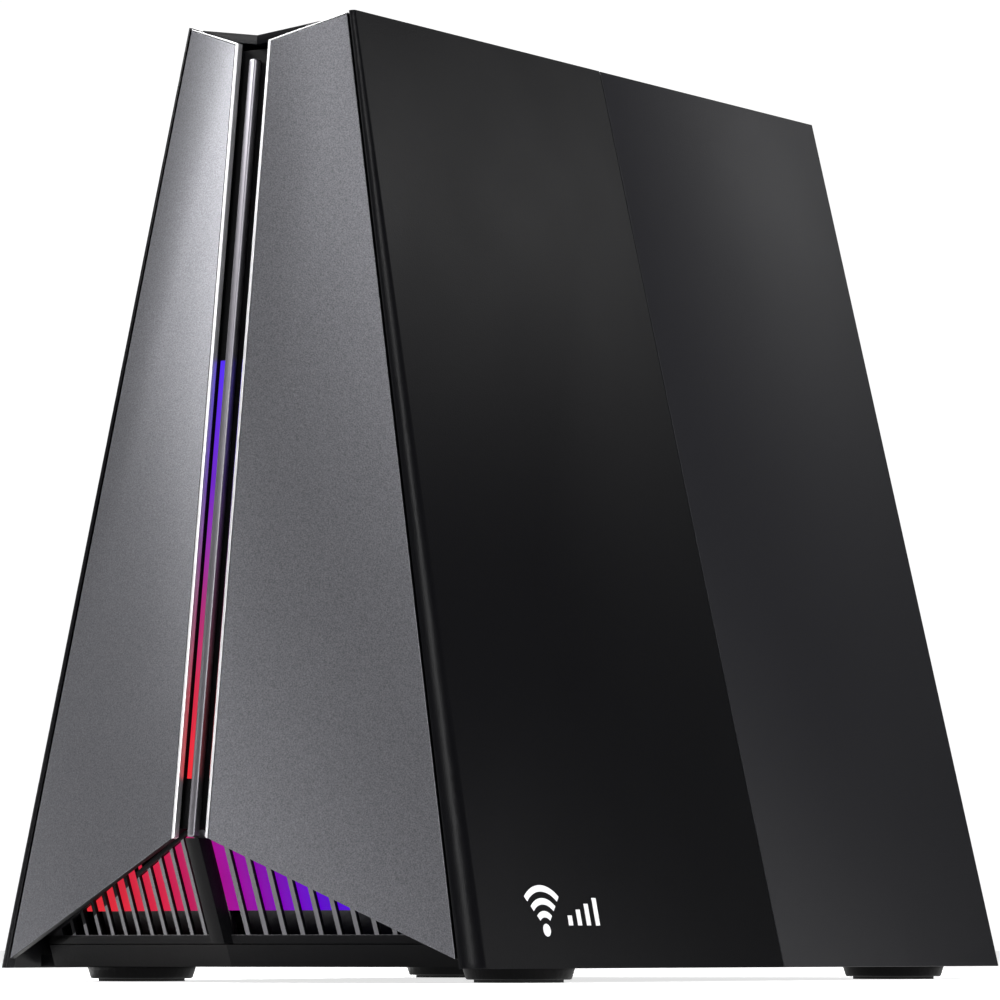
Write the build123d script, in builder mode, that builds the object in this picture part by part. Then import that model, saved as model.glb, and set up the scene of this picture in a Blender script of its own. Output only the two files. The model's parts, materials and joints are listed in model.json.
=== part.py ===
"""Tower-style wireless router: two swept front wings round a light channel, side shells, rear ports.

Millimetres. +X is the router's left as seen from behind and +Y points from its front to its back.
Z is up from the surface it stands on, and the origin is the centre of its footprint.
"""

import os
from math import atan, ceil, cos, radians, sin, sqrt, tan

from build123d import *

# Overall size
height = 200.0
depth = 220.0
base_half_width = 58.25  # sharp front corner at the shells' bottom edge
top_half_width = 20.55  # the same corner at the top edge
side_flare = tan(radians(5.0))  # the body widens towards the back
shell_bottom = 2.9
base_bottom = 3.2

# Front wings
wing_sweep = 0.341  # how far a wing falls back for each millimetre outwards
front_setback = 26.3  # the front edge leans back by this from bottom to top
wing_thickness = 1.8
trim_width = 0.65
trim_chamfer = 0.3
trim_joint = 0.1  # between the trim and its panel
trim_leg_inner = 0.38  # height of the trim's leg along the wing's top edge
trim_leg_outer = 0.22
carrier_lift = 1.8  # the carrier ends this far above the wings' lower edges
wing_gap = 0.5  # shadow gap between a wing and the folded side shell
arch_apex = 29.2
arch_slope = 0.486
wing_top_inner = 194.1
wing_top_slope = 0.345

# Side shells
wall = 2.4
fold_radius_bottom = 5.5
fold_radius_top = 1.5
rear_radius = 3.0
rear_setback = 13.4
rear_fold = 5.0
seam_bottom_y = 17.85
seam_top_y = 8.3
seam_gap = 0.4
lap_depth = 1.2
lap_reach = 6.0

# Light channel between the wings
channel_half = 3.7
channel_depth = 2.8
carrier_thickness = 2.5
channel_floor = 1.8
fin_half = 0.9
fin_recess = 0.4
fin_drop = 3.5
strip_inner = 1.9
strip_outer = 3.5
strip_low = 41.0
strip_high = 127.2
strip_fit = 0.1
light_gap = 1.2
light_board_thickness = 1.2

# Front grille
grille_sweep = 0.22
grille_slope = 0.46
grille_setback = 3.9
grille_bottom = 9.7
grille_top_rail = 1.0
grille_half = 52.0
grille_low = 7.9
grille_rise = 1.5  # the grille reaches this far above the wings' lower edges
grille_overlap = 4.0  # and this far once it is clear behind the carrier
rib_first = 5.15
rib_pitch = 3.85
rib_width = 0.95
rib_depth = 1.1
step_rib = 4  # the rib where the grille's top line steps up behind the carrier
prow_half = 1.6
prow_proud = 3.3
diffuser_bottom = 14.6
diffuser_half = 39.0
diffuser_thickness = 1.2
glow_gap = 4.0
glow_chip_xs = [6.0, 13.5, 21.0, 28.5, 36.0]
chip_thickness = 0.6

# Top cover
valley_slope = 0.211
cover_thickness = 2.0
cover_gap = 0.3
vent_width = 2.4
vent_pitch = 6.0
vent_margin = 5.0
vent_inner = 2.5
vent_sweep = 0.5

# Base and feet
base_thickness = 2.5
board_posts = [(42.0, -50.0), (50.0, 58.0)]
post_radius = 3.0
front_wall = 2.0
ledge_length = 8.0
ledge_height = 7.0
front_ledge = (56.0, -30.0)
rear_ledge = (64.0, 60.0)
screw_radius = 1.0
screw_head_radius = 2.2
screw_head = 1.5
screw_length = 7.0
head_seat = 1.6  # depth of the counterbore under a base screw
pilot_radius = 1.1
foot_radius = 11.6
foot_draft = 0.8
pad_radius = 9.2
pad_height = 0.6
pad_seat = 1.0
front_foot = (46.6, 36.4)  # from the centre plane, and behind the front corner
rear_foot = (58.5, 19.0)  # from the centre plane, and ahead of the rear edge

# Rear panel and port tray
rear_recess = 0.8
rear_thickness = 2.4
tray_low = 8.0
tray_high = 50.0
tray_half_low = 62.0
tray_half_high = 55.0
tray_plate = 2.2
tray_face = depth / 2 - 5.6
key_post_length = 7.0
key_post_radius = 2.0
tray_rim = 1.5
port_proud = 0.3
louvre_pitch = 7.0
louvre_width = 3.0
louvre_low = 60.0
louvre_rows = 17
louvre_margin = 6.0

# Main board
standoff = 4.0
board_thickness = 1.6
board_front_half = 50.0
board_rear_half = 57.0
board_front_y = -60.0
board_inset = 0.7  # the board stops short of the tray by this
board_hole_radius = 1.4
processors = [
    (0.0, 10.0, 21.0, 21.0, 1.6),
    (-26.0, 4.0, 14.0, 9.0, 1.1),
    (-26.0, 18.0, 14.0, 9.0, 1.1),
    (24.0, 66.0, 12.0, 12.0, 1.1),
    (34.0, -17.0, 9.0, 9.0, 1.1),
]
shield_spots = [(-22.0, -36.0), (0.0, -36.0), (22.0, -36.0)]
shield_width = 18.0
shield_length = 24.0
shield_height = 3.2
shield_wall = 0.4
pad_thickness = 0.6
sink_width = 34.0
sink_length = 40.0
sink_base = 3.0
sink_fin = 1.2
sink_pitch = 4.1
sink_fin_height = 18.0

# Inner frame and antennas
frame_foot = 2.0
frame_foot_half = 4.6
frame_width = 6.4
frame_wall = 2.0
frame_half = 13.0
frame_knee = 70.0
frame_top = 184.0
frame_ties = (96.0, 150.0)
frame_rail = 6.0
antenna_ys = [-38.0, 4.0, 46.0]
antenna_gap = 0.2
antenna_thickness = 0.8
antenna_width = 16.0
lead_radius = 0.6
lead_bend = 4.0
lead_turn = 62.0
lead_step = 4.0
lead_shift = -6.0
lead_drop = 14.0
lead_board_x = 36.0
connector_radius = 1.2
connector_height = 1.4

# Ports on the main board
jack_width = 15.9
jack_height = 13.4
jack_depth = 21.4
jack_pitch = 17.0
jack_first_x = 19.0
jack_count = 5
socket_width = 11.8
socket_height = 6.8
socket_depth = 14.5
latch_width = 6.2
latch_height = 1.6
usb_width = 7.0
usb_height = 14.4
usb_depth = 17.5
usb_x = 31.5
usb_wall = 0.8
usb_tongue_thickness = 1.9
usb_tongue_shift = 1.2
inlet_width = 9.6
inlet_height = 11.0
inlet_depth = 14.5
inlet_x = 42.5
inlet_bore = 3.1
inlet_pin = 1.0
inlet_bore_depth = 9.5
jack_floor = 1.6
jack_round = 0.5

# Buttons
power_x = 53.5
power_radius = 4.3
power_travel = 2.2
power_proud = 2.8
key_radius = 3.0
key_proud = 0.9
key_travel = 0.8
key_z = 38.0
key_xs = {"wps": 26.0, "light": 12.0}
reset_x = -2.0
reset_radius = 0.9
reset_recess = 1.2
slide_gap = 0.3  # clearance of a moving cap in its hole
stem_gap = 0.1
stem_radius = 0.8
stem_air = 0.4  # between a pressed flange and its switch
stem_engaged = 1.4
flange_step = 0.9
flange_thickness = 1.0
cap_round = 0.5
power_switch_size = 8.0
power_switch_length = 12.0
key_switch_size = 6.0
key_board_margin = 6.0

fit = 0.2  # clearance between fixed pieces


# ---------------------------------------------------------------- master geometry
def level(z):
    """Share of the way from the shells' bottom edge to their top edge."""
    return (z - shell_bottom) / (height - shell_bottom)


front_lean = front_setback / (height - shell_bottom)
rear_lean = rear_setback / (height - shell_bottom)
channel_edge_y = -depth / 2


def edge_y(z):
    """Front edge of the light channel, which is the foremost line of the router."""
    return channel_edge_y + front_lean * (z - arch_apex)


def wing_y(x, z):
    """Outer face of the wings."""
    return edge_y(z) + wing_sweep * (abs(x) - channel_half)


def corner_x(z):
    return base_half_width + (top_half_width - base_half_width) * level(z)


def corner_y(z):
    return wing_y(corner_x(z), z)


def side_x(y, z):
    """Outer face of the side shells."""
    return corner_x(z) + side_flare * (y - corner_y(z))


def back_y(z):
    return depth / 2 - rear_setback * level(z)


def arch_z(x):
    """Lower edge of the wings."""
    return arch_apex - arch_slope * (abs(x) - channel_half)


def wing_top_z(x):
    return wing_top_inner + wing_top_slope * (abs(x) - channel_half)


def fold_radius(z):
    return fold_radius_bottom + (fold_radius_top - fold_radius_bottom) * level(z)


fold_turn = radians(90) - atan(side_flare) - atan(wing_sweep)


def fold_x(z):
    """Where the side shell's fold starts to curve away from the wing's plane."""
    return corner_x(z) - fold_radius(z) * tan(fold_turn / 2) * cos(atan(wing_sweep))


def wing_outer_x(z):
    return fold_x(z) - wing_gap


def grille_y(x, z):
    """Front face of the grille's ribs, which falls back towards the bottom."""
    return channel_edge_y + grille_setback + grille_slope * (arch_apex - z) + grille_sweep * abs(x)


wing_thickness_y = wing_thickness * sqrt(1 + wing_sweep**2 + front_lean**2)
base_top = base_bottom + base_thickness
board_bottom = base_top + standoff
board_top = board_bottom + board_thickness
power_z = board_top + 7.0

# Planes of the faces, each with its normal pointing out of the router
wing_plane = Plane(
    origin=(0, wing_y(0, 0), 0), x_dir=(1, wing_sweep, 0), z_dir=(wing_sweep, -1, front_lean)
)
edge_plane = Plane(
    origin=(0, edge_y(0), 0), x_dir=(1, 0, 0), z_dir=(0, -1, front_lean)
)
grille_plane = Plane(
    origin=(0, grille_y(0, 0), 0), x_dir=(1, grille_sweep, 0), z_dir=(grille_sweep, -1, -grille_slope)
)
left_grille_plane = Plane(
    origin=(0, grille_y(0, 0), 0), x_dir=(1, -grille_sweep, 0), z_dir=(-grille_sweep, -1, -grille_slope)
)
back_plane = Plane(origin=(0, back_y(0), 0), x_dir=(-1, 0, 0), z_dir=(0, 1, rear_lean))
side_low = Vector(side_x(0, shell_bottom), 0, shell_bottom)
side_high = Vector(side_x(0, height), 0, height)
side_plane = Plane(
    origin=side_low,
    x_dir=(side_flare, 1, 0),
    z_dir=Vector(side_flare, 1, 0).cross(side_high - side_low),
)
valley_plane = Plane(
    origin=(side_x(0, height), 0, height),
    x_dir=(side_flare, 1, 0),
    z_dir=(-valley_slope, valley_slope * side_flare, 1),
)
seam_lean = (seam_top_y - seam_bottom_y) / (height - shell_bottom)
seam_plane = Plane(
    origin=(0, seam_bottom_y, shell_bottom), x_dir=(1, 0, 0), z_dir=(0, 1, -seam_lean)
)
fold_low = Vector(fold_x(shell_bottom), wing_y(fold_x(shell_bottom), shell_bottom), shell_bottom)
fold_high = Vector(fold_x(height), wing_y(fold_x(height), height), height)
fold_plane = Plane(origin=fold_low, z_dir=Vector(0, 1, 0).cross(fold_high - fold_low))


def on_plane(plane, x, y, z):
    """A point's two coordinates in a face's plane."""
    point = plane.to_local_coords(Vector(x, y, z))
    return (point.X, point.Y)


def on_wing(x, z):
    return on_plane(wing_plane, x, wing_y(x, z), z)


def on_edge(x, z):
    return on_plane(edge_plane, x, edge_y(z), z)


def on_grille(x, z):
    return on_plane(grille_plane, x, grille_y(x, z), z)


def on_back(x, z):
    return on_plane(back_plane, x, back_y(z), z)


def on_side(y, z):
    return on_plane(side_plane, side_x(y, z), y, z)


def outline(z, inset):
    """Corners of the body's horizontal section, moved inwards by inset."""
    ridge = wing_y(0, z) + inset * sqrt(1 + wing_sweep**2)
    side_shift = inset * sqrt(1 + side_flare**2)
    # The wing line y = ridge + sweep * x meets the side line x = side_x(y) - side_shift.
    side_at_zero = side_x(0, z) - side_shift
    corner = (side_at_zero + side_flare * ridge) / (1 - side_flare * wing_sweep)
    back = back_y(z) - inset
    rear = side_at_zero + side_flare * back
    return [
        (0, ridge),
        (corner, ridge + wing_sweep * corner),
        (rear, back),
        (-rear, back),
        (-corner, ridge + wing_sweep * corner),
    ]


def body_form(inset):
    """The whole body as one solid, each outer face moved inwards by inset."""
    with BuildPart() as form:
        for z in (shell_bottom, height):
            with BuildSketch(Plane.XY.offset(z)) as section:
                with BuildLine():
                    Polyline(*outline(z, inset), close=True)
                make_face()
                rows = section.vertices().group_by(Axis.Y)
                fillet(rows[1], max(fold_radius(z) - inset, 0.3))
                fillet(rows[2], max(rear_radius - inset, 0.3))
        loft(ruled=True)
    return form.part


def moved(plane, x=0, y=0, z=0):
    """The same plane somewhere else."""
    return Plane(origin=plane.origin + Vector(x, y, z), x_dir=plane.x_dir, z_dir=plane.z_dir)


def facing_rear(y):
    """Upright plane square to Y, seen from behind."""
    return Plane(origin=(0, y, 0), x_dir=(-1, 0, 0), z_dir=(0, 1, 0))


def seen_from_rear(*points):
    return [(-x, z) for x, z in points]


os.makedirs("parts", exist_ok=True)


def save(part, name):
    part.label = name
    export_step(part, f"parts/{name}.step")


def save_pair(part, name):
    """Writes a right-hand piece and its mirror image."""
    save(part, f"{name}_right")
    save(mirror(part, about=Plane.YZ), f"{name}_left")


# ---------------------------------------------------------------- side shells
outer_form = body_form(0)
inner_form = body_form(wall)
lap_outer = body_form(wall + fit)
lap_root = body_form(wall - fit)
lap_inner = body_form(wall + lap_depth)
lap_top = height - 5 * cover_thickness
lap_low = base_bottom + 2 * base_thickness

with BuildPart() as side_front:
    add(outer_form)
    add(inner_form, mode=Mode.SUBTRACT)
    split(bisect_by=fold_plane, keep=Keep.TOP)
    split(bisect_by=seam_plane.offset(-seam_gap / 2), keep=Keep.BOTTOM)
    split(bisect_by=valley_plane, keep=Keep.BOTTOM)

# The lap is rooted in the front shell and reaches behind the rear one.
with BuildPart() as lap:
    add(lap_root)
    add(lap_inner, mode=Mode.SUBTRACT)
    split(bisect_by=fold_plane, keep=Keep.TOP)
    split(bisect_by=seam_plane.offset(-lap_reach), keep=Keep.TOP)
    split(bisect_by=seam_plane.offset(-seam_gap / 2), keep=Keep.BOTTOM)
    split(bisect_by=Plane.XY.offset(lap_top), keep=Keep.BOTTOM)
    split(bisect_by=Plane.XY.offset(lap_low), keep=Keep.TOP)
with BuildPart() as lap_tongue:
    add(lap_outer)
    add(lap_inner, mode=Mode.SUBTRACT)
    split(bisect_by=fold_plane, keep=Keep.TOP)
    split(bisect_by=seam_plane.offset(-lap_reach / 2), keep=Keep.TOP)
    split(bisect_by=seam_plane.offset(lap_reach), keep=Keep.BOTTOM)
    split(bisect_by=Plane.XY.offset(lap_top), keep=Keep.BOTTOM)
    split(bisect_by=Plane.XY.offset(lap_low), keep=Keep.TOP)

with BuildPart() as side_rear:
    add(outer_form)
    add(inner_form, mode=Mode.SUBTRACT)
    split(bisect_by=seam_plane.offset(seam_gap / 2), keep=Keep.TOP)
    split(bisect_by=side_plane.offset(-rear_fold), keep=Keep.TOP)
    split(bisect_by=valley_plane, keep=Keep.BOTTOM)


def screw_ledge(x, y):
    """Ledge inside a side shell that a base screw bites into."""
    reach = ledge_length / 2
    with BuildPart() as ledge:
        with Locations((x + ledge_length / 2 - screw_radius * 3, y, base_top + fit + ledge_height / 2)):
            Box(2 * ledge_length, ledge_length, ledge_height)
        with Locations((x, y, base_top)):
            Cylinder(pilot_radius, 3 * ledge_height, mode=Mode.SUBTRACT)
        split(bisect_by=Plane.YZ.offset(x - reach), keep=Keep.TOP)
        add(lap_root, mode=Mode.INTERSECT)
    return ledge.part


with BuildPart() as side_front_shell:
    add(side_front.part)
    add(lap.part)
    add(lap_tongue.part)
    add(screw_ledge(*front_ledge))
with BuildPart() as side_rear_shell:
    add(side_rear.part)
    add(screw_ledge(*rear_ledge))
save_pair(side_front_shell.part, "side_front")
save_pair(side_rear_shell.part, "side_rear")

# ---------------------------------------------------------------- wings, trims and channel
panel_inner = channel_half + trim_width + trim_joint


def meet(line, outer):
    """Height where a sloping wing edge meets the wing's outer edge."""
    z = line(base_half_width / 2)
    for _ in range(40):
        z = line(outer(z))
    return z


def wing_outline(inner, outer, low, high):
    """Wing face between an inner x, an outer edge and two sloping edges."""
    low_end = meet(low, outer)
    high_end = meet(high, outer)
    return [
        on_wing(inner, low(inner)),
        on_wing(outer(low_end), low_end),
        on_wing(outer(high_end), high_end),
        on_wing(inner, high(inner)),
    ]


def trim_leg(x):
    """Height of the trim's leg, which tapers outwards."""
    share = (abs(x) - channel_half) / (top_half_width - channel_half)
    return trim_leg_inner + (trim_leg_outer - trim_leg_inner) * share


def trim_under(x):
    return wing_top_z(x) - trim_leg(x)


def panel_top_z(x):
    return trim_under(x) - trim_joint


with BuildPart() as wing_panel:
    with BuildSketch(wing_plane):
        with BuildLine():
            Polyline(*wing_outline(panel_inner, wing_outer_x, arch_z, panel_top_z), close=True)
        make_face()
    extrude(amount=wing_thickness_y, dir=(0, 1, 0))
save_pair(wing_panel.part, "wing_panel")

trim_outer = channel_half + trim_width
leg_high = meet(wing_top_z, wing_outer_x)
leg_low = meet(trim_under, wing_outer_x)
with BuildPart() as wing_trim:
    with BuildSketch(wing_plane):
        with BuildLine():
            Polyline(
                on_wing(channel_half, arch_z(channel_half)),
                on_wing(trim_outer, arch_z(trim_outer)),
                on_wing(trim_outer, trim_under(trim_outer)),
                on_wing(wing_outer_x(leg_low), leg_low),
                on_wing(wing_outer_x(leg_high), leg_high),
                on_wing(channel_half, wing_top_z(channel_half)),
                close=True,
            )
        make_face()
    extrude(amount=wing_thickness_y, dir=(0, 1, 0))
    front_edges = edges().filter_by(lambda edge: edge.length > height / 2).sort_by(Axis.X)[0:2]
    chamfer(front_edges.sort_by(Axis.Y)[0], trim_chamfer)
save_pair(wing_trim.part, "wing_trim")


def carrier_outer_x(z):
    return fold_x(z) - fit


def carrier_top_z(x):
    """Top of the carrier, just under the cover's valley."""
    return height - valley_slope * (top_half_width - abs(x)) - cover_thickness - 3 * fit - 1


def carrier_low_z(x):
    return arch_z(x) + carrier_lift


with BuildPart() as front_carrier:
    with BuildSketch(moved(wing_plane, y=wing_thickness_y + fit)):
        with BuildLine():
            Polyline(
                *wing_outline(channel_half, carrier_outer_x, carrier_low_z, carrier_top_z), close=True
            )
        make_face()
    extrude(amount=carrier_thickness, dir=(0, 1, 0))
    mirror(about=Plane.YZ)
    with BuildSketch(moved(edge_plane, y=channel_depth)):
        with BuildLine():
            Polyline(
                on_edge(-channel_half - 0.5, arch_apex + carrier_lift),
                on_edge(channel_half + 0.5, arch_apex + carrier_lift),
                on_edge(channel_half + 0.5, carrier_top_z(channel_half)),
                on_edge(-channel_half - 0.5, carrier_top_z(channel_half)),
                close=True,
            )
        make_face()
        for side in (-1, 1):
            with BuildLine():
                Polyline(
                    on_edge(side * strip_inner, strip_low),
                    on_edge(side * strip_outer, strip_low),
                    on_edge(side * strip_outer, strip_high),
                    on_edge(side * strip_inner, strip_high),
                    close=True,
                )
            make_face(mode=Mode.SUBTRACT)
    extrude(amount=channel_floor, dir=(0, 1, 0))
    # Pads for the light board, above and below the strips
    for low, high in ((strip_low - 7, strip_low - 3), (strip_high + 3, strip_high + 7)):
        with BuildSketch(moved(edge_plane, y=channel_depth + channel_floor)):
            with BuildLine():
                Polyline(
                    on_edge(-channel_half, low),
                    on_edge(channel_half, low),
                    on_edge(channel_half, high),
                    on_edge(-channel_half, high),
                    close=True,
                )
            make_face()
        extrude(amount=light_gap, dir=(0, 1, 0))
save(front_carrier.part, "front_carrier")


def edge_slab(half, low, high, front, thick, inner=None):
    """Plate square to the channel between two heights, at a depth behind the front edge."""
    left = -half if inner is None else inner
    with BuildPart() as slab:
        with BuildSketch(moved(edge_plane, y=front)):
            with BuildLine():
                Polyline(
                    on_edge(left, low),
                    on_edge(half, low),
                    on_edge(half, high),
                    on_edge(left, high),
                    close=True,
                )
            make_face()
        extrude(amount=thick, dir=(0, 1, 0))
    return slab.part


fin = edge_slab(fin_half, arch_apex, wing_top_inner - fin_drop, fin_recess, channel_depth - fin_recess)
save(fin, "center_fin")
strip = edge_slab(
    strip_outer - strip_fit,
    strip_low + strip_fit,
    strip_high - strip_fit,
    channel_depth,
    channel_floor,
    inner=strip_inner + strip_fit,
)
save_pair(strip, "light_strip")
board_front = channel_depth + channel_floor + light_gap
light_board = edge_slab(
    channel_half, strip_low - 7, strip_high + 7, board_front, light_board_thickness
)
save(light_board, "light_board")

# ---------------------------------------------------------------- front grille


step_x = rib_first + step_rib * rib_pitch


def grille_top_z(x):
    """Top of the grille: level under the channel, then falling with the arch."""
    return arch_z(max(x, channel_half)) + (grille_rise if x < step_x else grille_overlap)


def grille_face(inner, outer, low, drop):
    """Outline of the grille's face between two x, from low up to the top line less a drop."""
    points = [on_grille(inner, low), on_grille(outer, low), on_grille(outer, grille_top_z(outer) - drop)]
    if inner < step_x <= outer:
        points.append(on_grille(step_x, grille_top_z(step_x) - drop))
        points.append(on_grille(step_x, arch_z(step_x) + grille_rise - drop))
    if inner < channel_half < outer:
        points.append(on_grille(channel_half, grille_top_z(channel_half) - drop))
    points.append(on_grille(inner, grille_top_z(inner) - drop))
    return points


ribs = [rib_first + rib_pitch * i for i in range(ceil((grille_half - rib_first) / rib_pitch))]
with BuildPart() as front_grille:
    with BuildSketch(grille_plane):
        with BuildLine():
            Polyline(*grille_face(0, grille_half, grille_low, 0), close=True)
        make_face()
        starts = [prow_half] + [x + rib_width / 2 for x in ribs]
        stops = [x - rib_width / 2 for x in ribs] + [grille_half - rib_width]
        for start, stop in zip(starts, stops):
            if grille_top_z(stop) - grille_top_rail > grille_bottom + rib_width:
                with BuildLine():
                    Polyline(*grille_face(start, stop, grille_bottom, grille_top_rail), close=True)
                make_face(mode=Mode.SUBTRACT)
    extrude(amount=rib_depth, dir=(0, 1, 0))
    # Prow beam under the fin
    with BuildSketch(moved(grille_plane, y=-prow_proud)):
        with BuildLine():
            Polyline(
                on_grille(0, grille_low),
                on_grille(prow_half, grille_low),
                on_grille(prow_half, arch_apex - fit),
                on_grille(0, arch_apex - fit),
                close=True,
            )
        make_face()
    extrude(amount=prow_proud + rib_depth, dir=(0, 1, 0))
    mirror(about=Plane.YZ)
save(front_grille.part, "front_grille")

with BuildPart() as grille_diffuser:
    with BuildSketch(moved(grille_plane, y=rib_depth + fit)):
        with BuildLine():
            Polyline(*grille_face(prow_half, diffuser_half, diffuser_bottom, fit), close=True)
        make_face()
    extrude(amount=diffuser_thickness, dir=(0, 1, 0))
save_pair(grille_diffuser.part, "grille_diffuser")

glow_y = rib_depth + fit + diffuser_thickness + glow_gap
with BuildPart() as glow_board:
    with BuildSketch(moved(grille_plane, y=glow_y)):
        with BuildLine():
            Polyline(*grille_face(prow_half, diffuser_half, base_top + fit, fit), close=True)
        make_face()
    extrude(amount=light_board_thickness, dir=(0, 1, 0))
save_pair(glow_board.part, "glow_board")

# Light chips stand in front of their boards
strip_middle = (strip_inner + strip_outer) / 2
chip_levels = [strip_low + 5 + 10 * i for i in range(int((strip_high - strip_low - 5) / 10) + 1)]
with BuildPart() as light_chips:
    for z in chip_levels:
        for side in (-1, 1):
            y = edge_y(z) + board_front - chip_thickness / 2 - 0.05 - front_lean
            with Locations((side * strip_middle, y, z)):
                Box(1.4, chip_thickness, 2.0)
    for x in glow_chip_xs:
        z = diffuser_bottom + 5
        for side in (-1, 1):
            y = grille_y(x, z) + glow_y - chip_thickness / 2 - 1.6
            with Locations((side * x, y, z)):
                Box(2.0, chip_thickness, 2.0)
save(light_chips.part, "light_chips")

# ---------------------------------------------------------------- top cover and rear panel
with BuildPart() as top_cover:
    add(body_form(wall + cover_gap))
    split(bisect_by=Plane.YZ, keep=Keep.TOP)
    split(bisect_by=valley_plane, keep=Keep.BOTTOM)
    split(bisect_by=moved(valley_plane, z=-cover_thickness), keep=Keep.TOP)
    split(bisect_by=back_plane.offset(-(rear_recess + rear_thickness + fit)), keep=Keep.BOTTOM)
    vent_front = wing_y(0, height) + wall + vent_margin * 3
    vent_rows = int((back_y(height) - vent_margin * 3 - vent_front) / vent_pitch)
    with BuildSketch(Plane.XY.offset(height)):
        for i in range(vent_rows):
            y = vent_front + i * vent_pitch
            x = side_x(y, height) - wall - vent_margin
            with BuildLine():
                Polyline(
                    (vent_inner, y + vent_sweep * vent_inner),
                    (x, y + vent_sweep * x),
                    (x, y + vent_sweep * x + vent_width),
                    (vent_inner, y + vent_sweep * vent_inner + vent_width),
                    close=True,
                )
            make_face()
    extrude(amount=-height / 10, mode=Mode.SUBTRACT)
    mirror(about=Plane.YZ)
save(top_cover.part, "top_cover")


def tray_shape(inset):
    """Outline of the port tray moved inwards, seen from behind."""
    points = [
        (-tray_half_low + inset, tray_low + inset),
        (tray_half_low - inset, tray_low + inset),
        (tray_half_high - inset, tray_high - inset),
        (-tray_half_high + inset, tray_high - inset),
    ]
    return seen_from_rear(*points)


with BuildPart() as rear_panel:
    add(outer_form)
    split(bisect_by=back_plane.offset(-rear_recess), keep=Keep.BOTTOM)
    split(bisect_by=back_plane.offset(-rear_recess - rear_thickness), keep=Keep.TOP)
    split(bisect_by=Plane.YZ, keep=Keep.TOP)
    split(bisect_by=side_plane.offset(-rear_fold - fit), keep=Keep.BOTTOM)
    split(bisect_by=valley_plane, keep=Keep.BOTTOM)
    split(bisect_by=Plane.XY.offset(base_bottom), keep=Keep.TOP)
    with BuildSketch(back_plane):
        for i in range(louvre_rows):
            z = louvre_low + i * louvre_pitch
            x = side_x(back_y(z), z) - rear_fold - louvre_margin
            with BuildLine():
                Polyline(
                    on_back(vent_inner, z),
                    on_back(x, z),
                    on_back(x, z + louvre_width),
                    on_back(vent_inner, z + louvre_width),
                    close=True,
                )
            make_face()
    extrude(amount=-3 * rear_thickness, mode=Mode.SUBTRACT)
    mirror(about=Plane.YZ)
    with BuildSketch(facing_rear(tray_face - 4 * tray_plate)):
        with BuildLine():
            Polyline(*tray_shape(-fit), close=True)
        make_face()
    extrude(amount=10 * tray_plate, mode=Mode.SUBTRACT)
save(rear_panel.part, "rear_panel")

# ---------------------------------------------------------------- port tray
jack_xs = [jack_first_x - jack_pitch * i for i in range(jack_count)]
jack_middle = board_top + jack_height / 2
tray_back = tray_face - tray_plate
port_openings = [(x, jack_middle, jack_width, jack_height) for x in jack_xs]
port_openings.append((usb_x, board_top + usb_height / 2, usb_width, usb_height))
port_openings.append((inlet_x, board_top + inlet_height / 2, inlet_width, inlet_height))
key_posts = [(sum(key_xs.values()) / 2, key_z), (key_xs["light"] / 2 + reset_x / 2, key_z)]
key_board_back = tray_back - key_post_length
with BuildPart() as port_plate:
    with BuildSketch(facing_rear(tray_back)):
        with BuildLine():
            Polyline(*tray_shape(0), close=True)
        make_face()
    extrude(amount=4 * tray_plate + rear_recess)
    with BuildSketch(facing_rear(tray_face)):
        with BuildLine():
            Polyline(*tray_shape(tray_rim), close=True)
        make_face()
    extrude(amount=4 * tray_plate + rear_recess, mode=Mode.SUBTRACT)
    split(bisect_by=back_plane.offset(-rear_recess), keep=Keep.BOTTOM)
    with BuildSketch(facing_rear(tray_face)):
        for x, z, wide, high in port_openings:
            with Locations((-x, z)):
                Rectangle(wide + 2 * fit, high + 2 * fit)
        with Locations((-power_x, power_z)):
            Circle(power_radius + slide_gap)
        for x in key_xs.values():
            with Locations((-x, key_z)):
                Circle(key_radius + slide_gap)
        with Locations((-reset_x, key_z)):
            Circle(reset_radius + slide_gap)
    extrude(amount=-2 * tray_plate, mode=Mode.SUBTRACT)
    with BuildSketch(facing_rear(tray_back)):
        for x, z in key_posts:
            with Locations((-x, z)):
                Circle(key_post_radius)
                Circle(pilot_radius, mode=Mode.SUBTRACT)
    extrude(amount=-key_post_length)
save(port_plate.part, "port_plate")

# ---------------------------------------------------------------- base and feet
posts = [(side * x, y) for x, y in board_posts for side in (-1, 1)]
base_back = back_y(base_top) - rear_recess - rear_thickness - fit
base_inset = wall + fit


def base_corner(y):
    return side_x(y, base_top) - base_inset


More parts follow.
